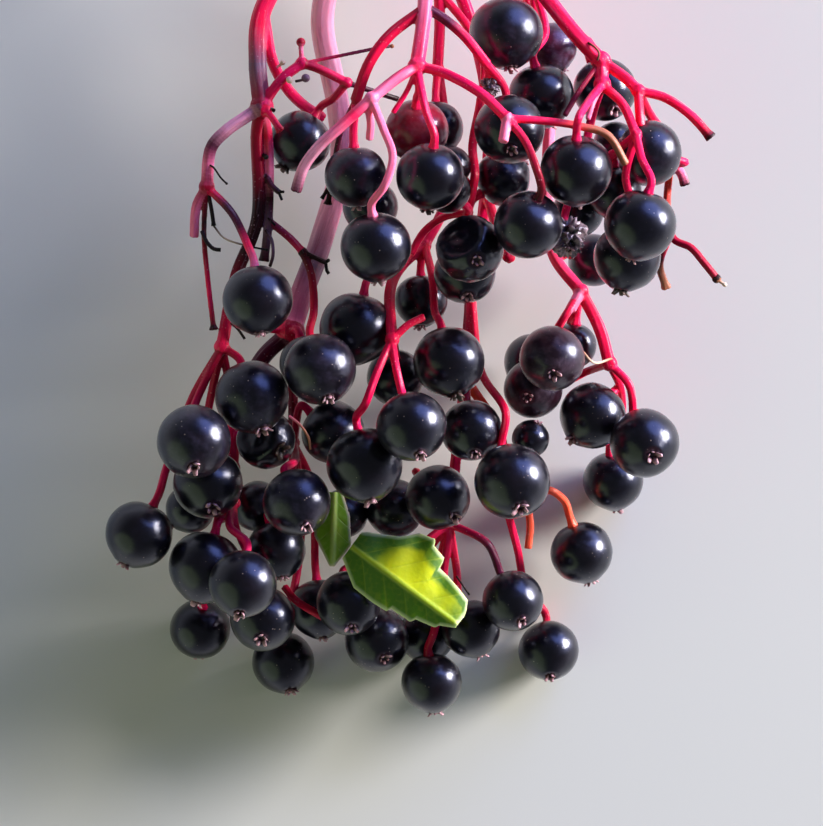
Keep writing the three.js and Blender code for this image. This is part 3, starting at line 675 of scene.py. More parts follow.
    def _crown(self) -> bpy.types.NodeSocket:
        """Draws the calyx lobes round the crown end: flat tapering tips that curl outwards."""
        tree, inlet = self.tree, self.inlet
        seed = inlet.outputs["Seed"]
        tip = add_node(
            tree, "GeometryNodeMeshCone",
            {
                "Vertices": 8, "Side Segments": 5, "Radius Top": self.LOBE_ENDS[0],
                "Radius Bottom": self.LOBE_ENDS[1], "Depth": 1.0,
            },
        )
        place = add_node(tree, "GeometryNodeInputPosition")
        parts = add_node(tree, "ShaderNodeSeparateXYZ", {0: place})
        out, across, along = (parts.node.outputs[axis] for axis in ("X", "Y", "Z"))
        bend = add_node(tree, "ShaderNodeMath", {0: along, 1: 2.0}, operation="POWER")
        thin = add_node(tree, "ShaderNodeMath", {0: out, 1: self.LOBE_THINNESS}, operation="MULTIPLY")
        curled = add_node(
            tree, "ShaderNodeMath", {0: bend, 1: self.LOBE_CURL, 2: thin}, operation="MULTIPLY_ADD"
        )
        spot = add_node(tree, "ShaderNodeCombineXYZ", {"X": curled, "Y": across, "Z": along})
        marked = add_node(
            tree, "GeometryNodeStoreNamedAttribute", {"Geometry": tip, "Name": "reach", "Value": along}
        )
        lobe = add_node(tree, "GeometryNodeSetPosition", {"Geometry": marked, "Position": spot})
        lobes = inlet.outputs["Lobes"]
        ring = add_node(tree, "GeometryNodeMeshCircle", {"Vertices": lobes, "Radius": self.RING_RADIUS})
        index = add_node(tree, "GeometryNodeInputIndex")
        step = add_node(tree, "ShaderNodeMath", {0: 2 * math.pi, 1: lobes}, operation="DIVIDE")
        jitter = add_node(
            tree, "FunctionNodeRandomValue", {2: -self.LOBE_JITTER, 3: self.LOBE_JITTER, "Seed": seed}, 1,
            data_type="FLOAT",
        )
        turn = add_node(tree, "ShaderNodeMath", {0: index, 1: step, 2: jitter}, operation="MULTIPLY_ADD")
        lean = add_node(
            tree, "ShaderNodeMath", {0: jitter, 1: self.LOBE_SWAY, 2: inlet.outputs["Lobe spread"]},
            operation="MULTIPLY_ADD",
        )
        euler = add_node(tree, "ShaderNodeCombineXYZ", {"X": jitter, "Y": lean, "Z": turn})
        heading = add_node(tree, "FunctionNodeEulerToRotation", {0: euler})
        size = add_node(
            tree, "FunctionNodeRandomValue", {2: self.LOBE_SIZES[0], 3: self.LOBE_SIZES[1], "Seed": seed},
            1, data_type="FLOAT",
        )
        length = add_node(
            tree, "ShaderNodeMath", {0: size, 1: inlet.outputs["Lobe length"]}, operation="MULTIPLY"
        )
        placed = add_node(
            tree, "GeometryNodeInstanceOnPoints",
            {"Points": ring, "Instance": lobe, "Rotation": heading, "Scale": length},
        )
        raised = add_node(
            tree, "GeometryNodeTransform",
            {"Geometry": placed, "Translation": (0.0, 0.0, self.CROWN_HEIGHT)},
        )
        solid = add_node(tree, "GeometryNodeRealizeInstances", {0: raised})
        return add_node(
            tree, "GeometryNodeSetMaterial", {"Geometry": solid, "Material": inlet.outputs["Husk"]}
        )

    @staticmethod
    def _draw(node: bpy.types.Node, places: tuple[tuple[float, float], ...]) -> None:
        """Sets a curve node's points.

        Args:
            node: The curve node.
            places: Each point's place along and up, from 0 to 1.
        """
        points = node.mapping.curves[0].points
        while len(points) < len(places):
            points.new(0.5, 0.5)
        for point, place in zip(points, places):
            point.location = place
        node.mapping.update()


@dataclass(frozen=True)
class Berry:
    """One berry on its pedicel. Where no centre is given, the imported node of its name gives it."""

    label: str
    fork: str | None              # the fork its pedicel leaves from
    radius: float
    crown_way: Place              # the way its crown points
    via: tuple[Place, ...] = ()   # places its pedicel passes
    centre: Place | None = None
    skin: Skin = Skin.GLOSSY
    form: Form = Form.ROUND
    crown: Crown = Crown.PINK
    flush: tuple[Tint, ...] = ()  # its pedicel's tints, where they differ from its ray's

    CORNER_BIAS = 0.1519  # a packed berry's corners lie this much nearer its crown, in radii
    SPIN_STEP = 2.399     # how far each berry is turned from the one before it, in radians

    @property
    def ray(self) -> str:
        """The ray it grows on."""
        return self.label.split("_")[0]

    @property
    def node(self) -> str | None:
        """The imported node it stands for, if it has one of its own."""
        return None if self.centre else f"berry_{self.label}"

    @property
    def axis(self) -> Vector:
        """The unit direction from its pedicel to its crown."""
        return Vector(self.crown_way).normalized()

    def middle(self) -> Vector:
        """Finds its centre, in metres."""
        if self.centre:
            return Vector(self.centre) * MM
        corners = {tuple(round(c, 7) for c in v.co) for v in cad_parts[self.node].data.vertices}
        mean = sum((Vector(c) for c in corners), Vector()) / len(corners)
        return mean - self.axis * (self.CORNER_BIAS * self.radius * MM)

    def build(self, rule: BerryRule, finishes: dict[Enum, bpy.types.Material], seed: int) -> bpy.types.Object:
        """Grows the berry.

        Args:
            rule: The rule its shape follows.
            finishes: The made materials.
            seed: Makes its small differences.

        Returns:
            The finished piece.
        """
        lumps, wrinkles, dent = self.form.value
        lobes, length, spread, husk = self.crown.value
        values = {
            "Radius": self.radius * MM, "Seed": seed, "Lumps": lumps, "Wrinkles": wrinkles, "Dent": dent,
            "Lobes": lobes, "Lobe length": length, "Lobe spread": spread,
            "Skin": finishes[self.skin], "Husk": finishes[husk],
        }
        mesh = grow(bpy.data.meshes.new("empty"), rule.tree, values)
        spin = Quaternion((0.0, 0.0, 1.0), 0.0 if self.form is Form.DENTED else seed * self.SPIN_STEP)
        turn = self.axis.to_track_quat("Z", "X") @ spin
        mesh.transform(Matrix.Translation(self.middle()) @ turn.to_matrix().to_4x4())
        slot = "red_berry" if self.skin is Skin.RED else "berry"
        return add_piece(f"fruit_{self.label}", mesh, slot, self.node)


# Label, fork, radius, crown direction and the places the pedicel passes. These have nodes of their own.
LOOSE_BERRIES = (
    Berry("left_1", "elbow", 3.1, (-0.5, -0.85, 0.1), ((-8.2, 5.9, 20),), crown=Crown.DRY),
    Berry("left_2", "bend", 3.5, (0.1, -0.95, 0.2), ((-18.4, -5.6, 21.4), (-16.6, -9.2, 24)),
        flush=(Tint.PINK, Tint.PLUM, Tint.PLUM, Tint.PINK, Tint.PALE_AND_HIGHLIGHT)),
    Berry("left_3", "stem_end", 3.6, (0.25, -0.83, 0.5), ((-10.5, -11.6, 20), (-10.2, -15.4, 20.6)),
        skin=Skin.DUSTY, flush=(Tint.DARK, Tint.CRIMSON, Tint.RED, Tint.RED)),
    Berry("left_4", "left_umbel", 3.7, (0.3, -0.89, 0.34), (), skin=Skin.DUSTY),
    Berry("left_5", "left_umbel", 3.7, (0.03, -0.68, 0.73), (), skin=Skin.DUSTY),
    Berry("left_6", "left_umbel", 3.5, (0.17, -0.66, 0.73), ((-20.6, -24, 17.2),)),
    Berry("left_7", "left_umbel", 3.4, (-0.44, -0.9, 0.1), ((-22.4, -24, 17.4), (-25, -31, 17.4))),
    Berry("back_1", "back_branch", 3.7, (-0.27, -0.96, 0.1), ((-19.2, -36, 15),)),
    Berry("back_2", "back_branch", 3.4, (-0.09, -0.85, 0.5), ((-18.6, -37, 19.4),)),
    Berry("back_3", "back_umbel", 3.1, (-0.1, -0.7, -0.5), ((-20.2, -36.6, 8),)),
    Berry("back_4", "inner_umbel", 3.3, (-0.03, -0.58, 0.8), ((-12, -34, 9),)),
    Berry("back_5", "inner_umbel", 3.2, (0.2, -0.8, 0.3), ((-11.6, -36, 6.4), (-12.6, -44, 5))),
    Berry("back_6", "inner_umbel", 3.4, (0.29, -0.7, 0.65), ((-12.2, -30.4, 15.4),), skin=Skin.DUSTY),
    Berry("centre_1", None, 3.1, (0.05, -1, -0.05), ((-6, 5.4, 24.6),), skin=Skin.DUSTY),
    Berry("centre_2", "front_arm", 3.5, (0.1, -0.98, -0.3),
        ((-3.2, 2.4, 29.8), (-2.3, -0.3, 30.6), (-3.1, -3.2, 30.6)), flush=(Tint.PALE_AND_HIGHLIGHT, Tint.PALE_AND_HIGHLIGHT)),
    Berry("centre_3", "front_fork", 3.2, (0, -0.8, -0.6), ((0.3, 6.6, 24.2),), skin=Skin.RED),
    Berry("centre_4", "front_fork", 3.4, (-0.1, -0.9, -0.4), ((1, 4.2, 28),), crown=Crown.DRY),
    Berry("centre_5", None, 3.5, (0.03, -0.6, 0.8), ((7.1, 9.1, 23), (8.8, 6.9, 21.6)),
        flush=(Tint.PINK, Tint.CRIMSON)),
    Berry("centre_6", "right_arm", 3.4, (-0.3, -0.8, -0.5), ((10.8, 1.2, 29.4), (11.8, -1.4, 30.4)),
        flush=(Tint.PINK, Tint.CRIMSON, Tint.DARK)),
    Berry("middle_1", "hidden_fork", 3.4, (0.2, -0.35, 0.91), (), form=Form.DENTED),
    Berry("middle_2", "hidden_fork", 3.1, (0.1, -0.74, 0.66), ()),
    Berry("middle_3", "lower_bend", 3.7, (-0.2, -0.9, 0.1), ((-3.4, -11.6, 14.4),)),
    Berry("middle_4", "lower_bend", 3.6, (0.2, -0.9, 0.3), ((1.7, -12.2, 14.6), (1.9, -15.4, 16.2)),
        crown=Crown.DRY),
    Berry("middle_5", "middle_umbel", 3.8, (0.18, -0.95, 0.25), ((-3.9, -21.6, 23.6), (-5, -24.6, 23.6))),
    Berry("middle_6", "middle_umbel", 3.5, (0.23, -0.8, 0.55), ((-2, -21, 23.4),)),
    Berry("right_1", "top_umbel", 3.7, (0.08, -0.95, 0.2), (), skin=Skin.DUSTY),
    Berry("right_2", "top_umbel", 2.6, (0.4, -0.9, 0.1), (), skin=Skin.PURPLE),
    Berry("right_3", "top_umbel", 3.3, (0.2, -0.95, -0.2), ((13, 12.6, 16.6),)),
    Berry("right_4", "inner_knot", 3.6, (0, -0.9, -0.4), ((17.2, 5.4, 25.4), (16, 3.4, 30.1))),
    Berry("right_5", "right_knot", 3.2, (0.31, -0.66, 0.69), ((17.2, 12, 14.4),)),
    Berry("right_6", "low_fork", 3.3, (-0.9, 0.2, 0.5), (), skin=Skin.DUSTY),
    Berry("right_7", "cross_knot", 3.6, (-0.25, -0.95, -0.1), ((22.4, -0.4, 25.6),)),
    Berry("right_8", "cross_knot", 3.4, (-0.2, -0.97, 0.1), ((20.9, -2.2, 22.6),), crown=Crown.DRY),
    Berry("right_9", "cross_knot", 2.8, (0, -0.9, -0.2), ((19.4, 0, 21),)),
    Berry("right_10", "buried_fork", 2.2, (0.05, -0.6, 0.8), (), skin=Skin.DRIED, form=Form.SHRIVELLED),
    Berry("side_1", "side_knot", 3.3, (0, -0.47, 0.88), ((15.2, -15.6, 13),), skin=Skin.MAROON),
    Berry("side_2", "side_umbel", 3, (-0.2, -0.3, 0.93), ((17.4, -21.4, 6.4), (14.6, -22.6, 6)),
        skin=Skin.MAROON),
    Berry("side_3", "side_umbel", 3.4, (-0.6, -0.7, 0.3), ()),
    Berry("side_4", "side_umbel", 3.5, (0.2, -0.35, 0.9), ((21.6, -22.8, 11.4),),
        flush=(Tint.PINK, Tint.RED, Tint.RED)),
    Berry("side_5", "side_umbel", 3.1, (0.1, -0.9, -0.3), ((20.9, -23.4, 8), (20.8, -27.4, 5.4))),
    Berry("lower_1", "deep_fork", 3.8, (0.21, -0.71, 0.67), ((6.6, -21.4, 12.6), (9, -25.6, 17)),
        flush=(Tint.RED, Tint.RED)),
    Berry("lower_2", "lower_umbel", 3.3, (0.5, -0.58, 0.64), ()),
    Berry("lower_3", "lower_umbel", 3.3, (0.12, -0.73, 0.67), ((-2.4, -40.8, 10),)),
    Berry("lower_4", "lower_umbel", 3.3, (0.24, -0.55, 0.8), ((-0.6, -41.8, 5.6),)),
    Berry("lower_5", "lower_umbel", 2.9, (-0.1, -0.9, 0), ()),
    Berry("lower_6", "lower_umbel", 3.1, (0.1, -0.98, -0.15), ((2.6, -44, 8), (1.8, -48, 8.4))),
    Berry("lower_7", "lower_umbel", 3, (0.3, -0.8, 0), ((4.2, -42, 7.4),)),
    Berry("lower_8", "lower_umbel", 3.1, (0.29, -0.65, 0.7), ((7.2, -38.8, 9.6),),
        flush=(Tint.PINK, Tint.PLUM, Tint.PLUM)),
    Berry("lower_9", "outer_umbel", 3.1, (0.06, -0.84, 0.54), ((10.4, -39.6, 6.2), (11.2, -43.4, 4.4))),
    Berry("lower_10", "outer_umbel", 3.2, (0.3, -0.9, -0.2), ((13.2, -33.4, 9), (15, -34.4, 7.6)),
        flush=(Tint.SALMON, Tint.SALMON)),
)

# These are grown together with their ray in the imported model, so their centres are written out.
INNER_BERRIES = (
    Berry("left_inner_1", "left_umbel", 3, (0.5, -0.33, 0.8), ((-18.4, -24, 15.6),), (-15.1, -28.3, 16.6),
        form=Form.DENTED, crown=Crown.DRY),
    Berry("back_inner_1", None, 2.8, (0.5, -0.8, 0.4), ((-7.6, 0, 8), (-6.4, -0.6, 11)),
        (-4.6, -4.8, 14)),
    Berry("back_inner_2", "back_knot", 3, (0.3, -0.9, 0.2), (), (-10.8, -20.6, 14.6)),
    Berry("back_inner_3", "inner_umbel", 3.2, (0.7, -0.6, 0.2), (), (-8.4, -27.5, 14.6)),
    Berry("back_inner_4", "back_umbel", 2.6, (0.6, -0.6, 0.2), (), (-16.1, -35, 11.6)),
    Berry("back_inner_5", "inner_umbel", 3, (0.2, -0.9, 0.3), ((-12.8, -33, 12.6),), (-14.1, -39.4, 15)),
    Berry("back_inner_6", "back_umbel", 2.5, (-0.7, -0.6, 0.1), (), (-22.9, -35.3, 10.4)),
    Berry("back_inner_7", "inner_umbel", 3.1, (0.1, -0.9, 0.2), ((-10.6, -33, 7.6),), (-9.8, -45.5, 6)),
    Berry("centre_inner_1", None, 1.1, (0.1, -0.9, -0.3), ((6.9, 9.3, 23),), (7.4, 7, 21.6),
        skin=Skin.DRIED, form=Form.SHRIVELLED),
    Berry("middle_inner_1", "upper_knot", 2.8, (0, -0.9, 0.3), (), (2, 3.2, 13.2)),
    Berry("middle_inner_2", "hidden_fork", 2.2, (-0.6, 0.6, 0), (), (3.4, -0.9, 16.9)),
    Berry("middle_inner_3", "hidden_fork", 2.3, (-0.6, 0.5, 0.4), (), (3.2, -3.4, 20.7)),
    Berry("middle_inner_4", "hidden_fork", 2.8, (0.7, 0.5, 0), (), (8.7, -2, 15)),
    Berry("middle_inner_5", "lower_bend", 2.7, (0, -0.9, 0.2), (), (0.5, -14.2, 11.6)),
    Berry("middle_inner_6", "middle_umbel", 2.9, (0, -0.7, -0.6), ((-2.2, -18.6, 18),),
        (-2.1, -22, 13.6)),
    Berry("right_inner_1", "buried_fork", 2.3, (0.7, 0.3, -0.6), ((17.4, 0.9, 15.6),), (20.2, 1.6, 11.6)),
    Berry("right_inner_2", "buried_fork", 2.6, (0, -0.7, -0.5), (), (16.4, -5.2, 12.6)),
    Berry("side_inner_1", None, 2.7, (0.8, -0.2, -0.2), ((14.2, -9.6, 8.5), (15, -9.6, 7.6)),
        (18.1, -10, 6)),
    Berry("side_inner_2", "side_knot", 2.9, (-0.7, -0.5, -0.4), (), (11.9, -20.4, 4.4)),
    Berry("side_inner_3", "side_knot", 2.4, (-0.1, -0.9, -0.2), (), (16, -18.7, 8.2)),
    Berry("lower_inner_1", "deep_fork", 3.1, (0.1, -0.7, 0.6), (), (5.6, -27.3, 15.4)),
    Berry("lower_inner_2", "outer_umbel", 1.9, (0.3, 0.7, 0.3), (), (11.6, -28.2, 11.4)),
    Berry("lower_inner_3", "lower_umbel", 3, (-0.9, 0.1, 0), (), (-2.1, -35.3, 8)),
    Berry("lower_inner_4", "lower_umbel", 2.5, (-0.8, -0.3, 0), (), (-7.3, -35.8, 7.6)),
)

# ---- stems ----------------------------------------------------------------------------------


@dataclass(frozen=True)
class Run:
    """One length of stem: its radius, the tints along it and the places or forks it passes."""

    radius: float
    tints: tuple[Tint, ...]
    route: tuple[Place | str, ...]
    end: float = 1.0      # how much wider or narrower it is at its end
    bud: float = 0.0      # radius of the bud at its end


@dataclass(frozen=True)
class Ray:
    """One of the seven main arms of the bunch."""

    forks: dict[str, Place]
    runs: tuple[Run, ...]
    pedicel_tints: tuple[Tint, ...]
    twiglets: tuple[Run, ...] = ()


RAYS = {
    "left": Ray(
        forks={
            "left_fork": (-15.4, 5, 21),
            "shoulder": (-11.4, 9.3, 21.2),
            "elbow": (-6.9, 7.4, 20.6),
            "bend": (-20.9, -3, 20.8),
            "stem_end": (-11.3, -9.5, 19.8),
            "left_umbel": (-19.4, -19, 20),
        },
        runs=(
            Run(0.92,
                (Tint.MAGENTA, Tint.PINK, Tint.PINK, Tint.PINK, Tint.PINK, Tint.RED, Tint.LILAC,
                 Tint.CRIMSON),
                ((-4.2, 29.9, 16), (-10, 23, 18.5), (-15.4, 14.5, 20), (-15.8, 9.5, 20.6), "left_fork")),
            Run(0.57, (Tint.PINK, Tint.MAGENTA),
                ((-15.2, 14.2, 19.6), (-14.4, 9.7, 19), (-13.1, 7.2, 17.2), (-11.3, 5.4, 14.4),
                 (-9.4, 4.2, 13))),
            Run(0.52, (Tint.MAGENTA,), ("left_fork", (-13.4, 7.7, 21.7), "shoulder")),
            Run(0.46, (Tint.CRIMSON, Tint.MAGENTA), ("shoulder", (-9.8, 8.8, 21), "elbow")),
            Run(0.3, (Tint.PLUM, Tint.DARK), ("elbow", (-4.6, 6.7, 19.6), (-1.8, 5.9, 17.6))),
            Run(0.26, (Tint.PINK, Tint.PALE_AND_HIGHLIGHT), ("shoulder", (-11.5, 10.8, 21.4))),
            Run(0.2, (Tint.MAGENTA, Tint.PLUM, Tint.PLUM),
                ("shoulder", (-7.6, 10.1, 20.6), (-3.8, 10.9, 20), (-2.6, 11.1, 19.8))),
            Run(0.36, (Tint.RED, Tint.PINK, Tint.CRIMSON),
                ("left_fork", (-14.4, 3.9, 22), (-13.5, 2.5, 22.4)), 1.4),
            # Painted highlights: the blush stretches along this arm stand for light on it.
            Run(0.63, (Tint.PLUM, Tint.BLUSH_AND_PAINTED_LIGHT, Tint.BLUSH_AND_PAINTED_LIGHT, Tint.PLUM, Tint.PALE_AND_HIGHLIGHT, Tint.CRIMSON),
                ("left_fork", (-16.9, 4, 21.2), (-19, 2.5, 21.4), (-20.4, 0.9, 21.2), "bend")),
            Run(0.48, (Tint.CRIMSON, Tint.PALE_AND_HIGHLIGHT, Tint.PALE_AND_HIGHLIGHT),
                ("bend", (-21.9, -4.8, 20.4), (-22.2, -8, 19.6))),
            Run(0.28, (Tint.CRIMSON, Tint.DARK, Tint.CRIMSON, Tint.PINK, Tint.DARK),
                ("bend", (-21.2, -7.6, 20.2), (-20.8, -12.3, 20), (-20.2, -17.3, 20.4)), 2.0),
            Run(0.63, (Tint.CRIMSON, Tint.CRIMSON, Tint.DARK, Tint.DARK, Tint.CRIMSON, Tint.PINK),
                ("left_fork", (-15.9, 2.7, 20.2), (-15.9, -6.3, 19.4), (-18, -11.9, 19.2), "left_umbel")),
            Run(0.46, (Tint.PALE_AND_HIGHLIGHT, Tint.RED, Tint.PALE_AND_HIGHLIGHT, Tint.DARK, Tint.LILAC, Tint.DARK),
                ("left_fork", (-14.8, 2.5, 20), (-14.8, -6.8, 19.2), (-15.2, -10.4, 19)), 1.3),
            Run(0.4, (Tint.PLUM, Tint.MAGENTA), ((-14.8, -6.3, 19.2), (-12.6, -8.1, 19.4), "stem_end")),
            Run(0.28, (Tint.DARK, Tint.BLACK), ("stem_end", (-8.9, -10.6, 20.4))),
            Run(0.3, (Tint.DARK, Tint.PLUM, Tint.BLACK),
                ((-15, -2, 19.8), (-14.3, -3, 20.2), (-13.6, -3.6, 20.4))),
        ),
        pedicel_tints=(Tint.CRIMSON, Tint.MAGENTA),
        twiglets=(
            Run(0.24, (Tint.PALE_AND_HIGHLIGHT, Tint.CRIMSON), ((-11.5, 10.7, 21.4), (-11.5, 11.4, 21.4)), bud=0.46),
            Run(0.14, (Tint.BLACK, Tint.LILAC), ((-12, 7.5, 21.6), (-11.4, 7.6, 21.9), (-11, 7.8, 22)),
                bud=0.43),
            Run(0.2, (Tint.CREAM,), ((-12.9, 7.9, 21.8), (-12.6, 7.6, 22.2)), bud=0.36),
            Run(0.15, (Tint.PALE_AND_HIGHLIGHT, Tint.CREAM), ((-13.9, 8.9, 20.8), (-13.3, 9.4, 21)), bud=0.26),
            Run(0.16, (Tint.CREAM, Tint.BLACK), ((-14.7, 5, 21.3), (-14.2, 4.6, 21.8)), bud=0.2),
            Run(0.2, (Tint.BLACK,), ((-15.3, 0.2, 20), (-15, 0, 20.4)), bud=0.27),
            Run(0.14, (Tint.CRIMSON, Tint.TAN), ((-3, 11.1, 19.8), (-2.4, 11.1, 19.8)), bud=0.22),
            Run(0.1, (Tint.BLACK,),
                ((-20.7, -0.8, 21.4), (-20.2, -1.1, 21.7), (-19.5, -2.1, 21.7), (-18.9, -2.7, 21.4)),
                bud=0.14),
            Run(0.2, (Tint.DARK, Tint.BLACK),
                ((-21.4, -7.4, 20.4), (-20.9, -8.5, 20.6), (-20.2, -9.2, 20.7), (-19.5, -9.3, 20.7))),
            Run(0.2, (Tint.DARK, Tint.BLACK),
                ((-20.7, -3.8, 20.8), (-20.4, -5.4, 20.8), (-20.2, -6.9, 20.7)), 1.3),
            Run(0.1, (Tint.DARK, Tint.CREAM, Tint.BLACK, Tint.BLACK),
                ((-20.2, -6.9, 20.7), (-19.2, -8.1, 20.9), (-17.3, -8.8, 21.1), (-16, -9.1, 21),
                 (-14.9, -9.3, 20.8)), bud=0.15),
            Run(0.17, (Tint.DARK, Tint.LILAC, Tint.DARK),
                ((-15, -7.3, 19.8), (-14.4, -8.4, 20.3), (-14.3, -9.9, 20.3), (-14.6, -10.9, 19.8))),
            Run(0.14, (Tint.BLACK,), ((-13.8, -3.5, 20.3), (-13.2, -3.5, 20.6))),
            Run(0.14, (Tint.BLACK,), ((-13.7, -3.6, 20.3), (-13.4, -4.3, 20.6))),
            Run(0.12, (Tint.DARK, Tint.BLACK), ((-14.8, -6.1, 19.6), (-14.1, -6.8, 20.1))),
            Run(0.17, (Tint.BLACK,), ((-9.1, -10.6, 20.3), (-8.7, -10.3, 20.7))),
            Run(0.17, (Tint.BLACK,), ((-9, -10.7, 20.4), (-8.9, -11.4, 20.6), (-8.7, -11.7, 20.6))),
            Run(0.14, (Tint.DARK, Tint.BLACK),
                ((-18.5, -16.6, 20.5), (-17.8, -17.2, 20.8), (-17.1, -18.2, 20.7))),
            Run(0.12, (Tint.PALE_AND_HIGHLIGHT, Tint.TAN, Tint.TAN),
                ((-12.6, -25.9, 23.6), (-11.5, -26.8, 24.2), (-10.7, -28, 24.2), (-10.5, -29.2, 23.6))),
        ),
    ),
    "back": Ray(
        forks={
            "back_knot": (-12.7, -17.4, 11.5),
            "back_umbel": (-18.8, -31.3, 12),
            "back_branch": (-18.4, -34.6, 14.6),
            "inner_umbel": (-12.4, -28.6, 11.5),
        },
        runs=(
            # Painted sunlight: the blush along the back ray makes it bright though the berries above shade
            # it.
            Run(1.2,
                (Tint.PINK, Tint.PALE_AND_HIGHLIGHT, Tint.BLUSH_AND_PAINTED_LIGHT, Tint.BLUSH_AND_PAINTED_LIGHT, Tint.BLUSH_AND_PAINTED_LIGHT, Tint.BLUSH_AND_PAINTED_LIGHT, Tint.LILAC,
                 Tint.PALE_AND_HIGHLIGHT),
                ((-3.1, 29.4, 13.3), (-7.5, 21.5, 10), (-9.5, 14.5, 9), (-7.9, 5.7, 8), (-7.6, -0.3, 7.6),
                 (-9.7, -8.3, 8), (-11.6, -13.6, 10), "back_knot")),
            Run(0.85, (Tint.PLUM, Tint.PLUM, Tint.MAGENTA, Tint.CRIMSON),
                ("back_knot", (-15.6, -20.2, 11.6), (-18.2, -26, 10.6), "back_umbel")),
            Run(0.57, (Tint.CRIMSON,), ("back_umbel", "back_branch")),
            Run(0.52, (Tint.CRIMSON, Tint.PLUM), ("back_knot", (-12.5, -22.5, 10.4), "inner_umbel")),
            Run(0.3, (Tint.PINK,), ("back_knot", (-15.3, -17.2, 13.6))),
            Run(0.37, (Tint.CRIMSON, Tint.MAGENTA),
                ("back_branch", (-17.9, -37.4, 18.4), (-16, -41.4, 19))),
            Run(0.4, (Tint.CRIMSON, Tint.RED, Tint.CRIMSON),
                ((-13.4, -43.2, 9), (-12.2, -44.6, 9.7), (-9.8, -46.1, 9.9), (-8.6, -46.7, 9))),
        ),
        pedicel_tints=(Tint.CRIMSON, Tint.MAGENTA),
    ),
    "centre": Ray(
        forks={
            "front_fork": (0.1, 8.8, 26),
            "front_arm": (-4.4, 5.4, 29),
            "right_arm": (9, 3.5, 28.8),
        },
        runs=(
            Run(0.75, (Tint.PINK, Tint.PALE_AND_HIGHLIGHT, Tint.PALE_AND_HIGHLIGHT, Tint.PINK),
                ((-1.9, 28.9, 16.7), (0.3, 22, 21), (0.9, 15.7, 24), "front_fork")),
            Run(0.52, (Tint.PLUM, Tint.PLUM, Tint.MAGENTA, Tint.PINK),
                ((0.8, 14.8, 24.3), (2.9, 13.5, 24.2), (4.9, 11.8, 23.8), (7.1, 9.1, 23))),
            Run(0.57, (Tint.CRIMSON, Tint.RED, Tint.CRIMSON),
                ((0.8, 14.5, 24.4), (-2.6, 11.9, 25), (-4.6, 9.2, 25.2), (-6, 5.4, 24.6))),
            Run(0.28, (Tint.CRIMSON, Tint.PLUM, Tint.DARK, Tint.BLACK),
                ((-6, 5.6, 24.4), (-7.6, 2, 22), (-8.8, -4.8, 21)), 1.8),
            Run(0.57, (Tint.PINK, Tint.PALE_AND_HIGHLIGHT), ("front_fork", (-1.6, 7.7, 27.4), "front_arm")),
            Run(0.57, (Tint.PALE_AND_HIGHLIGHT, Tint.PINK, Tint.PALE_AND_HIGHLIGHT, Tint.BLUSH_AND_PAINTED_LIGHT, Tint.BLUSH_AND_PAINTED_LIGHT, Tint.PLUM),
                ("front_arm", (-7.6, 2.5, 29.2), (-9.6, 0.7, 28.8), (-11.1, -1.3, 28.2),
                 (-11.9, -3.7, 27.6))),
            Run(0.4, (Tint.PALE_AND_HIGHLIGHT,), ((-4.9, 5.1, 28.9), (-4.5, 3.2, 28.4), (-4.6, 1.4, 27.8))),
            Run(0.52, (Tint.PINK, Tint.MAGENTA, Tint.PINK),
                ("front_fork", (2.5, 8.2, 26.6), (6.4, 6, 28.2), "right_arm")),
            Run(0.28, (Tint.MAGENTA,), ("front_fork", (-0.9, 6.4, 24.4), (-2.3, 4.2, 24.2))),
            Run(0.52, (Tint.PALE_AND_HIGHLIGHT,), ("right_arm", (8.6, 1.1, 29.6))),
            Run(0.41, (Tint.PINK, Tint.PINK, Tint.TAN, Tint.TAN),
                ("right_arm", (13.4, 3.2, 28.2), (16.4, 2.7, 27.8), (18.9, 1.9, 27.6), (20.8, -1, 27))),
        ),
        pedicel_tints=(Tint.MAGENTA, Tint.PINK),
        twiglets=(
            Run(0.18, (Tint.DARK, Tint.BLACK),
                ((-8.3, -2.3, 21.2), (-8.9, -3.4, 21.4), (-9.4, -4.2, 21.3)), 1.3),
        ),
    ),
    "middle": Ray(
        forks={
            "upper_knot": (2.2, 9.1, 11.4),
            "hidden_fork": (5.2, -5.5, 17.2),
            "lower_bend": (0.9, -8.6, 9.8),
            "middle_umbel": (-2.4, -18.3, 22),
        },
        runs=(
            Run(0.57, (Tint.MAGENTA, Tint.PINK),
                ((-1, 29, 13.2), (1.6, 22, 12.2), (2.4, 15.7, 12), "upper_knot")),
            Run(0.57, (Tint.MAGENTA, Tint.PINK, Tint.MAGENTA),
                ("upper_knot", (2.8, 5, 8.6), (3.4, 0, 8.2), (2.9, -4.5, 8.6), "lower_bend")),
            Run(0.57, (Tint.MAGENTA, Tint.RED, Tint.RED),
                ("lower_bend", (-1.3, -10.6, 12), (-2.6, -13.4, 17), "middle_umbel")),
            Run(0.46, (Tint.PINK, Tint.RED),
                ((2.4, 17, 12), (5.4, 13.2, 12.4), (6.9, 9.7, 12.6), (6.5, 5.7, 13.4), (5.7, 1.2, 15.6),
                 (5.9, -1.8, 17.6), "hidden_fork")),
            Run(0.4, (Tint.RED, Tint.PINK),
                ("hidden_fork", (2.9, -5.9, 16.6), (0.9, -7.3, 16.2), (-0.5, -9.6, 16))),
            Run(0.4, (Tint.RED,), ("middle_umbel", (-0.8, -16.8, 21.4), (0.8, -16, 20.8))),
        ),
        pedicel_tints=(Tint.RED, Tint.MAGENTA),
    ),
    "right": Ray(
        forks={
            "top_umbel": (11.5, 18.5, 15.5),
            "right_knot": (18.5, 9.6, 20),
            "inner_knot": (18.6, 7.2, 20.8),
            "cross_knot": (21.9, 2.1, 24),
            "outer_knot": (22.2, 6.6, 20.6),
            "buried_fork": (16.8, 0.2, 19.4),
            "low_fork": (25.6, -0.6, 15.4),
        },
        runs=(
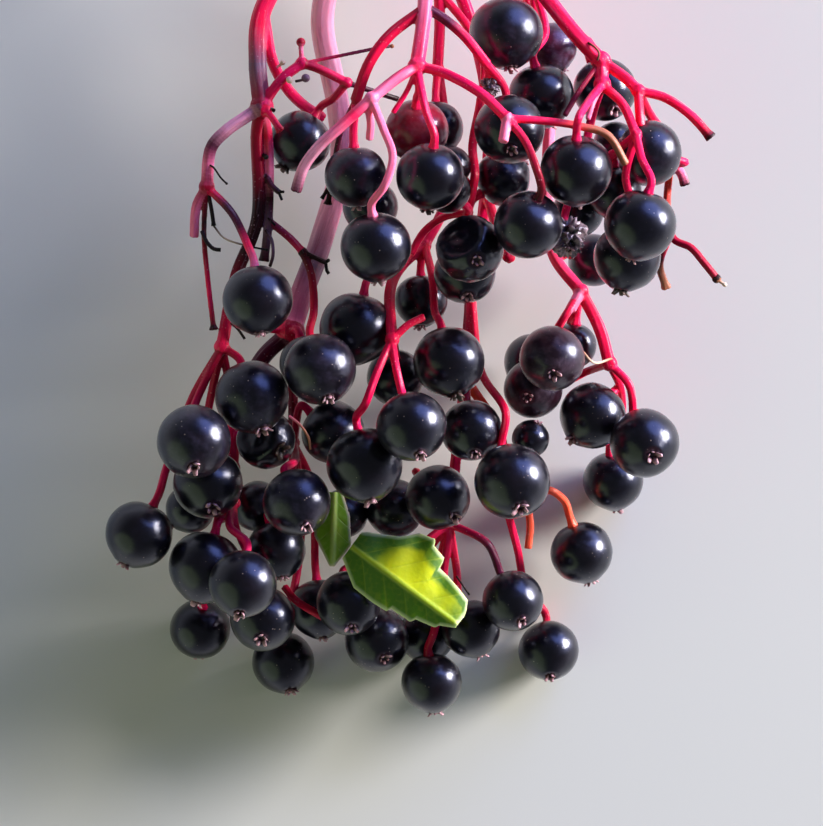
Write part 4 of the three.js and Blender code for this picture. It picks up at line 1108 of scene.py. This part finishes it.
            Run(0.8, (Tint.MAGENTA, Tint.PINK, Tint.PINK),
                ((0.3, 30, 16), (7, 23.5, 18), (15.9, 12.4, 19.8), "right_knot")),
            Run(0.52, (Tint.PINK, Tint.PALE_AND_HIGHLIGHT), ((7, 23.5, 18), (9.6, 21, 16.8), "top_umbel")),
            Run(0.69, (Tint.PINK,), ("right_knot", "inner_knot")),
            Run(0.3, (Tint.CRIMSON, Tint.PLUM), ("right_knot", (16.4, 6.7, 21.6), (14.8, 4, 22.4))),
            Run(0.3, (Tint.PALE_AND_HIGHLIGHT,), ("inner_knot", (17.6, 5.2, 22.5), (17.1, 3.6, 23))),
            Run(0.48, (Tint.RED, Tint.PINK), ("inner_knot", (20.6, 5.2, 22), "cross_knot")),
            Run(0.57, (Tint.RED, Tint.PINK), ("right_knot", (20.9, 7.9, 20.4), "outer_knot")),
            Run(0.48, (Tint.RED,), ("outer_knot", (22.3, 4.4, 21.6), (22.4, 2.9, 22))),
            Run(0.48, (Tint.RED, Tint.PINK, Tint.RED, Tint.PINK, Tint.RED, Tint.DARK),
                ("outer_knot", (24.9, 5.9, 20.6), (27.4, 4.2, 20.8), (29.5, 1.9, 20.6)), 1.3),
            Run(0.48, (Tint.RED,), ("outer_knot", (23.6, 4.2, 17), (25.2, 2, 15.4), "low_fork")),
            Run(0.48, (Tint.PINK, Tint.PALE_AND_HIGHLIGHT, Tint.DARK),
                ("low_fork", (26.6, -1.4, 16.2), (27.1, -2.7, 16)), 1.15),
            Run(0.4, (Tint.SALMON, Tint.CRIMSON, Tint.CRIMSON),
                ("low_fork", (25.3, -5, 15.4), (25.9, -8.1, 16.2), (27.6, -9, 16.8), (28.9, -10.5, 17),
                 (30.2, -12.1, 17))),
            Run(0.4, (Tint.PINK, Tint.DARK, Tint.TAN),
                ((25.7, -7.4, 16), (24.6, -10.6, 14), (25.3, -13, 13)), 1.5),
            Run(0.46, (Tint.MAGENTA,), ("inner_knot", (17.7, 4.4, 19.4), "buried_fork")),
        ),
        pedicel_tints=(Tint.PINK, Tint.MAGENTA),
        twiglets=(
            Run(0.3, (Tint.DARK,), ((29.8, -11.7, 17), (30.2, -12.1, 17)), bud=0.47),
            Run(0.16, (Tint.TAN, Tint.CREAM), ((30.4, -12.3, 17.1), (31, -12.7, 17.1)), bud=0.24),
            Run(0.12, (Tint.BLACK, Tint.TAN, Tint.BLACK),
                ((17.2, 11.4, 20.6), (17.9, 10.9, 21), (18.3, 10.3, 21.2), (18.1, 9.6, 21.2))),
        ),
    ),
    "side": Ray(
        forks={
            "side_knot": (16.7, -13.3, 11),
            "side_umbel": (19.6, -20.6, 11),
        },
        runs=(
            Run(0.63, (Tint.MAGENTA, Tint.PINK, Tint.PALE_AND_HIGHLIGHT, Tint.PINK),
                ((0.6, 30.2, 13.6), (6, 24.4, 11), (11, 17.6, 9), (13.4, 8, 7.2), (13.4, -4, 7),
                 (14, -9.4, 8.4), "side_knot")),
            Run(0.63, (Tint.RED, Tint.PINK, Tint.RED), ("side_knot", (18.6, -17, 11), "side_umbel")),
            Run(0.57, (Tint.PALE_AND_HIGHLIGHT,), ("side_knot", (15.6, -15.2, 12.6))),
        ),
        pedicel_tints=(Tint.RED, Tint.PINK),
        twiglets=(
            Run(0.13, (Tint.TAN, Tint.CREAM, Tint.TAN),
                ((19.8, -20.1, 11.8), (17.9, -20.5, 14), (16.7, -19.3, 15))),
        ),
    ),
    "lower": Ray(
        forks={
            "deep_fork": (5.6, -13, 8),
            "lower_umbel": (3.4, -36.8, 8.4),
            "outer_umbel": (9.2, -35.2, 8.4),
            "far_fork": (9.4, -9.8, 12.4),
        },
        runs=(
            Run(0.69, (Tint.MAGENTA,),
                ((-1.6, 30.4, 12.4), (0.6, 25, 7.4), (5, 16, 5.8), (7.4, 6, 5.8), (7, -5, 6.4),
                 "deep_fork")),
            Run(0.57, (Tint.CRIMSON, Tint.MAGENTA, Tint.PINK),
                ("deep_fork", (4.8, -24, 9), (4, -31, 9.4), "lower_umbel")),
            Run(0.52, (Tint.RED,), ((7.1, -3, 6.3), (8.3, -7, 10), "far_fork")),
            Run(0.52, (Tint.SALMON, Tint.RED), ((5, -22, 8.9), (8.6, -28, 9.4), "outer_umbel")),
            Run(0.4, (Tint.SALMON,),
                ("outer_umbel", (11, -34.6, 8.6), (11.6, -36.6, 8.6), (11.4, -39.4, 8.6))),
        ),
        pedicel_tints=(Tint.PINK, Tint.CRIMSON),
        twiglets=(
            Run(0.1, (Tint.DARK, Tint.BLACK), ((4.1, -42.1, 12), (4.8, -43.1, 12.2), (5.4, -44, 12))),
        ),
    ),
}


class SweepRule:
    """Stems from their centre lines, as a Geometry Nodes tree: tubes, with balls at the forks."""

    INPUTS = {"Sides": "NodeSocketInt", "Bark": "NodeSocketMaterial"}

    def __init__(self) -> None:
        """Builds the tree."""
        tree, inlet = new_tree("Sweep rule", self.INPUTS)
        self.tree = tree
        lines = add_node(tree, "GeometryNodeMeshToCurve", {0: inlet.outputs["Geometry"]})
        girth = add_node(tree, "GeometryNodeInputNamedAttribute", {"Name": "girth"}, data_type="FLOAT")
        section = add_node(
            tree, "GeometryNodeCurvePrimitiveCircle", {"Resolution": inlet.outputs["Sides"], "Radius": 1.0}
        )
        tubes = add_node(
            tree, "GeometryNodeCurveToMesh",
            {"Curve": lines, "Profile Curve": section, "Scale": girth, "Fill Caps": True}
        )
        knuckle = add_node(tree, "GeometryNodeInputNamedAttribute", {"Name": "knuckle"}, data_type="FLOAT")
        swollen = add_node(tree, "FunctionNodeCompare", {0: knuckle, 1: 0.0}, operation="GREATER_THAN")
        ball = add_node(tree, "GeometryNodeMeshIcoSphere", {"Radius": 1.0, "Subdivisions": 3})
        balls = add_node(
            tree, "GeometryNodeInstanceOnPoints",
            {"Points": inlet.outputs["Geometry"], "Selection": swollen, "Instance": ball, "Scale": knuckle},
        )
        joined = add_node(tree, "GeometryNodeJoinGeometry", {0: tubes})
        tree.links.new(balls, joined.node.inputs[0])
        solid = add_node(tree, "GeometryNodeRealizeInstances", {0: joined})
        barked = add_node(
            tree, "GeometryNodeSetMaterial", {"Geometry": solid, "Material": inlet.outputs["Bark"]}
        )
        smooth = add_node(tree, "GeometryNodeSetShadeSmooth", {0: barked})
        add_node(tree, "NodeGroupOutput", {0: smooth})


@dataclass
class Stroke:
    """One centre line ready to be swept: its points, girths and tints."""

    points: list[Vector]
    girths: list[float]
    tints: list[tuple[float, float, float]]


class StemWork:
    """Gathers centre lines, sweeps them into one skin and dresses it."""

    STEP = 0.35 * MM
    VOXEL = 0.12 * MM
    SIDES = 12
    STRETCH = 0.12        # how much shorter the grain is drawn along the stem than across it
    RIDGES = 5
    RIDGE_DEPTH = 0.025 * MM
    RIDGED_RADIUS = 0.5 * MM   # a stem of this radius has ridges of that depth
    RIDGE_LIMIT = 1.5     # how much deeper they get on a thicker stem, at most
    WANDER = 1.5          # how far round the stem a ridge wanders, in radians
    WANDER_LENGTH = 4.0 * MM
    NEIGHBOURS = 5        # how many centre-line points are tried for each spot of the skin
    FAR_APART = 10 * MM   # keeps the streaks of two lengths from lining up
    FLARE = 2.2           # length of the stretch over which an end widens, in radii

    def __init__(self) -> None:
        """Starts with nothing drawn."""
        self.strokes: list[Stroke] = []
        self.knuckles: list[tuple[Vector, float]] = []

    def draw(self, places: list[Vector], radius: float, tints: tuple[Tint, ...], end: float = 1.0) -> None:
        """Adds one length of stem.

        Args:
            places: The places it passes, in metres.
            radius: Its radius, in millimetres.
            tints: The tints along it.
            end: How much wider or narrower its end is.
        """
        points = smooth_route(places, self.STEP)
        lengths = np.concatenate(([0.0], np.cumsum([(b - a).length for a, b in zip(points, points[1:])])))
        total = max(lengths[-1], KNOT_FLOOR * MM)
        colours = np.array([linear(t.value)[:3] for t in tints])
        spread = np.linspace(0.0, total, len(tints)) if len(tints) > 1 else np.array([0.0])
        mixed = np.stack([np.interp(lengths, spread, colours[:, c]) for c in range(3)], axis=1)
        near_end = np.clip(1.0 - (total - lengths) / (self.FLARE * radius * MM), 0.0, 1.0)
        girths = radius * MM * (1.0 + (end - 1.0) * near_end**2)
        self.strokes.append(Stroke(points, girths.tolist(), [tuple(c) for c in mixed]))

    def swell(self, place: Vector, radius: float) -> None:
        """Adds a knuckle or a bud.

        Args:
            place: Where it is, in metres.
            radius: Its radius, in millimetres.
        """
        self.knuckles.append((place, radius * MM))

    def _lines(self) -> bpy.types.Mesh:
        """Turns the centre lines and knuckles into a mesh of edges and loose points."""
        mesh = bpy.data.meshes.new("centre lines")
        points, edges, girths = [], [], []
        for stroke in self.strokes:
            first = len(points)
            points += stroke.points
            girths += stroke.girths
            edges += [(first + i, first + i + 1) for i in range(len(stroke.points) - 1)]
        knuckles = [0.0] * len(points)
        for place, radius in self.knuckles:
            points.append(place)
            girths.append(radius)
            knuckles.append(radius)
        mesh.from_pydata(points, edges, [])
        mesh.attributes.new("girth", "FLOAT", "POINT").data.foreach_set("value", girths)
        mesh.attributes.new("knuckle", "FLOAT", "POINT").data.foreach_set("value", knuckles)
        return mesh

    def sweep(self, rule: SweepRule, bark: bpy.types.Material, melt: bool = True) -> bpy.types.Mesh:
        """Makes the skin.

        Args:
            rule: The rule that sweeps the centre lines.
            bark: The stems' material.
            melt: Whether the lengths melt into one skin.

        Returns:
            The mesh, with its tint and grain attributes.
        """
        values = {"Sides": self.SIDES, "Bark": bark}
        mesh = grow(self._lines(), rule.tree, values, self.VOXEL if melt else 0.0)
        mesh.materials.clear()
        mesh.materials.append(bark)
        self._dress(mesh)
        mesh.shade_smooth()
        return mesh

    def _dress(self, mesh: bpy.types.Mesh) -> None:
        """Gives each vertex the tint and grain of the stem it lies on, and raises fine ridges.

        Args:
            mesh: The skin.
        """
        middles, sides, girths, tints, runs = self._samples()
        tree = KDTree(len(middles))
        for i, middle in enumerate(middles):
            tree.insert(middle, i)
        tree.balance()
        count = len(mesh.vertices)
        spots = np.empty(count * 3, np.float32)
        mesh.vertices.foreach_get("co", spots)
        spots = spots.reshape(-1, 3)
        nearest = np.empty(count, int)
        for i, spot in enumerate(spots):
            found = tree.find_n(spot, self.NEIGHBOURS)
            nearest[i] = min(found, key=lambda hit: hit[2] - girths[hit[1]])[1]
        offset = spots - np.array(middles)[nearest]
        frames = np.array(sides)[nearest]
        across = np.einsum("ij,ij->i", offset, frames[:, 0])
        up = np.einsum("ij,ij->i", offset, frames[:, 1])
        along = np.array(runs)[nearest] + np.einsum("ij,ij->i", offset, frames[:, 2])
        angle = np.arctan2(up, across)
        normals = np.empty(count * 3, np.float32)
        mesh.vertex_normals.foreach_get("vector", normals)
        thick = np.clip(np.array(girths)[nearest] / self.RIDGED_RADIUS, 0.0, self.RIDGE_LIMIT)
        wander = self.WANDER * np.sin(along / self.WANDER_LENGTH)
        lift = self.RIDGE_DEPTH * thick * np.sin(self.RIDGES * angle + wander)
        spots = spots + normals.reshape(-1, 3) * lift[:, None]
        mesh.vertices.foreach_set("co", spots.astype(np.float32).ravel())
        grain = np.stack([across, up, along * self.STRETCH], axis=1)
        colour = np.concatenate([np.array(tints)[nearest], np.ones((count, 1))], axis=1)
        mesh.attributes.new("grain", "FLOAT_VECTOR", "POINT").data.foreach_set(
            "vector", grain.astype(np.float32).ravel()
        )
        mesh.attributes.new("tint", "FLOAT_COLOR", "POINT").data.foreach_set(
            "color", colour.astype(np.float32).ravel()
        )
        mesh.update()

    def _samples(self) -> tuple[list, list, list, list, list]:
        """Lists every centre-line point with its frame, girth, tint and distance along."""
        middles, sides, girths, tints, runs = [], [], [], [], []
        start = 0.0
        for stroke in self.strokes:
            side = Vector((0.0, 0.0, 1.0))
            travelled = start
            for i, point in enumerate(stroke.points):
                before = stroke.points[max(0, i - 1)]
                after = stroke.points[min(len(stroke.points) - 1, i + 1)]
                ahead = (after - before).normalized()
                side = (side - ahead * side.dot(ahead)).normalized()
                travelled += (point - before).length
                middles.append(point)
                sides.append((side, ahead.cross(side), ahead))
                girths.append(stroke.girths[i])
                tints.append(stroke.tints[i])
                runs.append(travelled)
            start = travelled + self.FAR_APART
        return middles, sides, girths, tints, runs


@dataclass
class RayWork:
    """Builds one ray: its runs, its pedicels and its dry twiglets."""

    name: str
    ray: Ray
    berries: list[Berry]
    middles: dict[str, Vector]

    KNUCKLE_SWELL = 1.3   # a fork is this much thicker than its thickest twig
    PEDICEL_RADIUS = 0.42
    CUP_RADIUS = 1.45     # the pedicel's end is this much wider than its middle
    SEAT = 0.86           # how far from its centre a berry meets its pedicel, in radii
    LEAD = 1.6            # length of the straight stretch before a berry, at most
    LEAD_SHARE = 0.35     # ... and as a share of what is left to the berry

    def place(self, point: Place | str) -> Vector:
        """Gives a place or a fork in metres."""
        return Vector(self.ray.forks[point] if isinstance(point, str) else point) * MM

    def pedicel(self, berry: Berry) -> list[Vector]:
        """Lists the places a berry's pedicel passes, from its fork to the berry."""
        end = self.middles[berry.label] - berry.axis * (self.SEAT * berry.radius * MM)
        start = [self.place(berry.fork)] if berry.fork else []
        before = start + [self.place(p) for p in berry.via]
        reach = (end - before[-1]).length
        lead = end - berry.axis * min(self.LEAD * MM, self.LEAD_SHARE * reach)
        return [*before, lead, end]

    def lay(self, work: StemWork, runs: tuple[Run, ...]) -> dict[str, float]:
        """Draws some runs with their buds.

        Args:
            work: The stem work that they are added to.
            runs: The runs.

        Returns:
            For each fork that they pass, the radius of the thickest one there.
        """
        thickest: dict[str, float] = {}
        for run in runs:
            places = [self.place(point) for point in run.route]
            work.draw(places, run.radius, run.tints, run.end)
            if run.bud:
                work.swell(places[-1], run.bud)
            for point in run.route:
                if isinstance(point, str):
                    thickest[point] = max(run.radius, thickest.get(point, 0.0))
        return thickest

    def build(self, rule: SweepRule, bark: bpy.types.Material, dead: bpy.types.Material) -> None:
        """Builds the ray's living stems as one piece, and its dry twiglets as another.

        Args:
            rule: The rule that sweeps centre lines.
            bark: The living stems' material.
            dead: The dry twiglets' material.
        """
        work = StemWork()
        for fork, radius in self.lay(work, self.ray.runs).items():
            work.swell(self.place(fork), radius * self.KNUCKLE_SWELL)
        for berry in self.berries:
            tints = berry.flush or self.ray.pedicel_tints
            work.draw(self.pedicel(berry), self.PEDICEL_RADIUS, tints, self.CUP_RADIUS)
        add_piece(f"stems_{self.name}", work.sweep(rule, bark), "stem", f"ray_{self.name}")
        if self.ray.twiglets:
            trim = StemWork()
            self.lay(trim, self.ray.twiglets)
            add_piece(f"twiglets_{self.name}", trim.sweep(rule, dead, melt=False), "stem")


class Stalk:
    """The woody stalk that the rays spring from, with its cut end."""

    NODE = "stalk"
    ROUTE: tuple[Place, ...] = (
        (-1, 55.8, 1.65), (-0.6, 50, 3), (-1, 42, 8), (-1.8, 35.5, 12.8), (-2, 31, 15)
    )
    RADIUS = 1.5
    HUB_RADIUS = 2.0
    CUT_RADIUS = 1.36
    CUT_DOME = 0.06       # how far the pith stands out at the middle of the cut
    CUT_SINK = 0.3        # how far its rim reaches back into the wood
    RINGS = 8
    SPOKES = 40

    def build(self, rule: SweepRule, bark: bpy.types.Material) -> None:
        """Builds the stalk as one piece and its cut end as another."""
        work = StemWork()
        places = [Vector(p) * MM for p in self.ROUTE]
        work.draw(places, self.RADIUS, (Tint.CRIMSON, Tint.PLUM, Tint.CRIMSON, Tint.MAGENTA))
        work.swell(places[-1], self.HUB_RADIUS)
        add_piece("stalk_wood", work.sweep(rule, bark), "stalk", self.NODE)
        add_piece("stalk_cut", self._cut_end(places), "stalk")

    def _cut_end(self, places: list[Vector]) -> bpy.types.Mesh:
        """Draws the cut end, a plug that stands out a little at its middle.

        Args:
            places: The stalk's places, its cut end first.

        Returns:
            The plug.
        """
        out = (places[0] - places[1]).normalized()
        side = Vector((0.0, 0.0, 1.0)).cross(out).normalized()
        up = out.cross(side)
        spots, faces, radial = [], [], []
        for ring in range(1, self.RINGS + 2):
            share = min(1.0, ring / self.RINGS)
            rise = self.CUT_DOME * (1.0 - share**2) if ring <= self.RINGS else -self.CUT_SINK
            for spoke in range(self.SPOKES):
                angle = math.tau * spoke / self.SPOKES
                reach = (side * math.cos(angle) + up * math.sin(angle)) * self.CUT_RADIUS * share
                spots.append(places[0] + (reach + out * rise) * MM)
                radial.append(share)
                following = (spoke + 1) % self.SPOKES
                if ring > 1:
                    first, last = (ring - 2) * self.SPOKES, (ring - 1) * self.SPOKES
                    faces.append((first + spoke, last + spoke, last + following, first + following))
        faces.append(tuple(range(self.SPOKES)))
        faces.append(tuple(reversed(range(self.RINGS * self.SPOKES, (self.RINGS + 1) * self.SPOKES))))
        mesh = bpy.data.meshes.new("cut")
        mesh.from_pydata(spots, [], faces)
        mesh.attributes.new("radial", "FLOAT", "POINT").data.foreach_set("value", radial)
        mesh.materials.append(CutWood().make())
        mesh.shade_smooth()
        return mesh


# ---- leaflets -------------------------------------------------------------------------------


@dataclass(frozen=True)
class Leaflet:
    """A leaflet: a blade folded along its midrib, with blunt teeth. Sizes are in millimetres."""

    node: str
    base: Place
    tip: Place
    length: float
    upper: tuple[tuple[float, float], ...]   # the edge on the side with the painted sunlight: along and across
    lower: tuple[tuple[float, float], ...]
    finish: LeafBlade
    fold: float = 0.3     # how far each half turns down from the midrib, in radians
    thickness: float = 0.35
    rim: float = 0.4      # width of the pale margin
    veins: int = 5

    ALONG = 150
    ACROSS = 36
    SLANT = 0.9           # how far a side vein runs forward for each step outwards
    RIB_WIDTH = 0.2
    BRANCH_WIDTH = 0.11
    SAG = 0.012           # how fast the blade bends down towards both ends
    # The painted sunlight fades in away from the base, where the blade keeps its shaded colour.
    SHADE_AT_BASE = 2.6
    SHADE_FADE = 2.0
    SUNLIT_REACH = 0.75   # how much of the half next to the midrib gets painted sunlight
    RIB_RISE = 0.12
    BRANCH_DIP = 0.05
    EDGE_DROP = 0.1
    RIPPLE = 0.05         # how far the blade ripples, for each step outwards
    RIPPLE_RATES = (1.7, 0.6)                # how fast it ripples along and across
    BRANCH_SHOW = 0.4     # how much paler a side vein is, beside the midrib
    SUNLIT_ONSET = 4.0    # how fast the painted sunlight sets in from the midrib
    SUNLIT_TIP = 1.3      # how far along it reaches, in lengths

    def build(self) -> bpy.types.Object:
        """Builds the leaflet."""
        along_way = (Vector(self.tip) - Vector(self.base)).normalized()
        across_way = Vector((0.0, 0.0, 1.0)).cross(along_way).normalized()
        up_way = along_way.cross(across_way)
        spots, sunlit, vein, edge = [], [], [], []
        for i in range(self.ALONG + 1):
            x = self.length * i / self.ALONG
            for j in range(-self.ACROSS, self.ACROSS + 1):
                outline = self.upper if j >= 0 else self.lower
                reach = np.interp(x, [p[0] for p in outline], [p[1] for p in outline])
                y = reach * j / self.ACROSS
                rib, branch = self._veins(x, y)
                margin = min(1.0, max(0.0, 1.0 - min(reach - abs(y), self.length - x) / self.rim))
                drop = abs(y) * math.sin(self.fold) + self.EDGE_DROP * margin**2
                phase = self.RIPPLE_RATES[0] * x + self.RIPPLE_RATES[1] * y
                ripple = self.RIPPLE * abs(y) * math.sin(phase)
                relief = self.RIB_RISE * rib - self.BRANCH_DIP * branch
                z = ripple - drop + relief - self.SAG * (x - self.length / 2) ** 2
                spots.append(Vector(self.base) + along_way * x + across_way * y + up_way * z)
                sunlit.append(self._sunlit(x, y, reach))
                vein.append(min(1.0, rib + self.BRANCH_SHOW * branch))
                edge.append(margin)
        mesh = self._grid(spots)
        for label, values in (("sunlit", sunlit), ("vein", vein), ("edge", edge)):
            mesh.attributes.new(label, "FLOAT", "POINT").data.foreach_set("value", values)
        mesh.materials.append(self.finish.make())
        return add_piece(self.node.replace("leaflet", "leaf"), self._thicken(mesh), "leaf", self.node)

    def _sunlit(self, x: float, y: float, reach: float) -> float:
        """Tells how much painted sunlight a spot of the blade gets: the upper half, away from its base and
        its edge.
        """
        from_base = (x - self.SHADE_AT_BASE) / self.SHADE_FADE
        from_edge = self.SUNLIT_REACH * reach - y
        from_tip = self.SUNLIT_TIP - x / self.length
        return max(0.0, min(1.0, self.SUNLIT_ONSET * y, from_base, from_edge, from_tip))

    def _veins(self, x: float, y: float) -> tuple[float, float]:
        """Tells how much of the midrib and of a side vein runs through a spot of the blade."""
        spacing = self.length / self.veins
        rib = math.exp(-((y / self.RIB_WIDTH) ** 2))
        off = abs(((x - self.SLANT * abs(y)) / spacing) % 1.0 - 0.5) * spacing
        branch = math.exp(-((off / self.BRANCH_WIDTH) ** 2)) * min(1.0, abs(y))
        return rib, branch

    def _grid(self, spots: list[Vector]) -> bpy.types.Mesh:
        """Joins the blade's spots, row by row, into one sheet."""
        rows = 2 * self.ACROSS + 1
        faces = []
        for i in range(self.ALONG):
            for j in range(rows - 1):
                corner = i * rows + j
                faces.append((corner, corner + rows, corner + rows + 1, corner + 1))
        mesh = bpy.data.meshes.new(self.node)
        mesh.from_pydata([spot * MM for spot in spots], [], faces)
        mesh.shade_smooth()
        return mesh

    def _thicken(self, mesh: bpy.types.Mesh) -> bpy.types.Mesh:
        """Gives the sheet its thickness."""
        sheet = bpy.data.objects.new("sheet", mesh)
        bpy.context.scene.collection.objects.link(sheet)
        body = sheet.modifiers.new("Thickness", "SOLIDIFY")
        body.thickness = self.thickness * MM
        body.offset = 0.0
        graph = bpy.context.evaluated_depsgraph_get()
        solid = bpy.data.meshes.new_from_object(sheet.evaluated_get(graph))
        bpy.data.objects.remove(sheet)
        return solid


LEAFLETS = (
    Leaflet(
        "leaflet_main", (-6.5, -39, 16.4), (4.2, -46.9, 17), 13.2,
        ((0, 1.7), (3.4, 3.6), (4.7, 5), (6.3, 5.5), (6.55, 4.9), (8.1, 4.5), (8.3, 3.4), (9.6, 3.25),
         (11.2, 2.9), (12.5, 2.5), (13, 1.6), (13.2, 0.9)),
        ((0, 1.4), (2.65, 3.15), (4.9, 3.2), (6.6, 3.1), (6.8, 2.6), (9.2, 2.5), (9.4, 2), (11.5, 1.5),
         (11.7, 1.1), (13.2, 0.3)),
        BRIGHT_BLADE,
    ),
    Leaflet(
        "leaflet_side", (-8.2, -33.6, 14.4), (-8.4, -41, 15.2), 7.4,
        ((0, 0.7), (2.4, 1.5), (5.2, 1.7), (6.2, 1.0), (7.4, 0.1)),
        ((0, 0.7), (1.6, 1.9), (4.4, 1.8), (7.4, 0.2)),
        DULL_BLADE, fold=0.2, rim=0.25,
    ),
)

# ---- studio ---------------------------------------------------------------------------------


@dataclass(frozen=True)
class Softbox:
    """A soft oval lamp that faces the bunch."""

    name: str
    bearing: float        # degrees round from +X towards +Y
    height: float         # degrees above the table
    distance: float       # metres
    size: float           # metres
    power: float          # watts
    colour: str = "#ffffff"
    stretch: float = 1.0  # how much taller than wide it is

    def build(self, target: Vector) -> None:
        """Hangs the lamp.

        Args:
            target: The place it faces.
        """
        light = bpy.data.lights.new(self.name, "AREA")
        light.shape = "ELLIPSE"
        light.size = self.size
        light.size_y = self.size * self.stretch
        light.energy = self.power
        light.color = linear(self.colour)[:3]
        bearing, height = math.radians(self.bearing), math.radians(self.height)
        level = math.cos(height)
        way = Vector((level * math.cos(bearing), level * math.sin(bearing), math.sin(height)))
        lamp = bpy.data.objects.new(self.name, light)
        lamp.location = target + way * self.distance
        lamp.rotation_euler = way.to_track_quat("Z", "Y").to_euler()
        bpy.context.scene.collection.objects.link(lamp)


class Studio:
    """The table, the lamps and the camera, which looks straight down on the bunch."""

    TABLE_RADIUS = 0.9
    TABLE_SIDES = 96
    LENS = 300.0          # millimetres
    SENSOR = 36.0
    FIELD = 82.6          # how much of the bunch the picture's long side takes in, in millimetres
    FOCUS_HEIGHT = 20.0
    AIM = (-0.45, -25.6)
    WALL = 0.45           # strength of the light from low down all round
    CEILING = 0.11        # strength from straight above, where the berries would mirror it
    DUSK = 0.7            # how high the wall's light has faded to the ceiling's, as a sine
    AIR = "#f1f3f7"
    LAMPS = (
        Softbox("key", 20, 12, 1.0, 0.4, 28.0, "#fffaf6", 0.75),
        Softbox("sky", 52, 22, 1.0, 0.85, 7.5, "#8ea6ff"),
        Softbox("fill", 215, 24, 1.2, 1.6, 5.0, "#c4dc9c"),
    )

    def build(self) -> None:
        """Sets up the table, the lamps, the ambient light and the camera."""
        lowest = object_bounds()[0][2]
        self._table(lowest)
        target = Vector((self.AIM[0], self.AIM[1], self.FOCUS_HEIGHT)) * MM
        for lamp in self.LAMPS:
            lamp.build(target)
        self._ambient()
        self._camera(target)
        view = bpy.context.scene.view_settings
        view.view_transform = "Standard"

    def _table(self, height: float) -> None:
        """Lays the table top."""
        turns = [math.tau * i / self.TABLE_SIDES for i in range(self.TABLE_SIDES)]
        rim = [(self.TABLE_RADIUS * math.cos(t), self.TABLE_RADIUS * math.sin(t), height) for t in turns]
        mesh = bpy.data.meshes.new("table")
        mesh.from_pydata(rim, [], [tuple(range(self.TABLE_SIDES))])
        mesh.materials.append(TableTop().make())
        table = bpy.data.objects.new("table", mesh)
        bpy.context.scene.collection.objects.link(table)
        table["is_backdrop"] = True

    def _ambient(self) -> None:
        """Sets the light from all round: pale low down, and dim above so that the berries stay deep."""
        world = bpy.data.worlds.new("studio")
        bpy.context.scene.world = world
        world.use_nodes = True
        tree = world.node_tree
        background = tree.nodes["Background"]
        way = add_node(tree, "ShaderNodeTexCoord", output="Generated")
        height = add_node(tree, "ShaderNodeSeparateXYZ", {0: way}, "Z")
        strength = add_node(
            tree, "ShaderNodeMapRange", {0: height, 1: 0.0, 2: self.DUSK, 3: self.WALL, 4: self.CEILING},
            interpolation_type="SMOOTHSTEP",
        )
        wire(background, {"Color": linear(self.AIR), "Strength": strength})

    def _camera(self, target: Vector) -> None:
        """Hangs the camera over the bunch."""
        lens = bpy.data.cameras.new("camera")
        lens.lens = self.LENS
        lens.sensor_width = self.SENSOR
        lens.clip_end = 10.0
        camera = bpy.data.objects.new("camera", lens)
        camera.location = target + Vector((0.0, 0.0, self.FIELD * self.LENS / self.SENSOR * MM))
        bpy.context.scene.collection.objects.link(camera)
        bpy.context.scene.camera = camera


# ---- the whole bunch ------------------------------------------------------------------------


def main() -> None:
    """Builds the bunch and the studio."""
    logging.basicConfig(level=logging.INFO, format="%(message)s")
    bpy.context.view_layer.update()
    finishes = {item: item.value.make() for choice in (Skin, Husk) for item in choice}
    bark, dead = GREEN_WOOD.make(), DEAD_WOOD.make()
    berry_rule, sweep_rule = BerryRule(), SweepRule()
    berries = [*LOOSE_BERRIES, *INNER_BERRIES]
    middles = {berry.label: berry.middle() for berry in berries}
    for seed, berry in enumerate(berries):
        berry.build(berry_rule, finishes, seed)
    for name, ray in RAYS.items():
        own = [berry for berry in berries if berry.ray == name]
        RayWork(name, ray, own, middles).build(sweep_rule, bark, dead)
    Stalk().build(sweep_rule, YOUNG_BARK.make())
    for leaflet in LEAFLETS:
        leaflet.build()
    Studio().build()


if __name__ == "__main__":
    main()
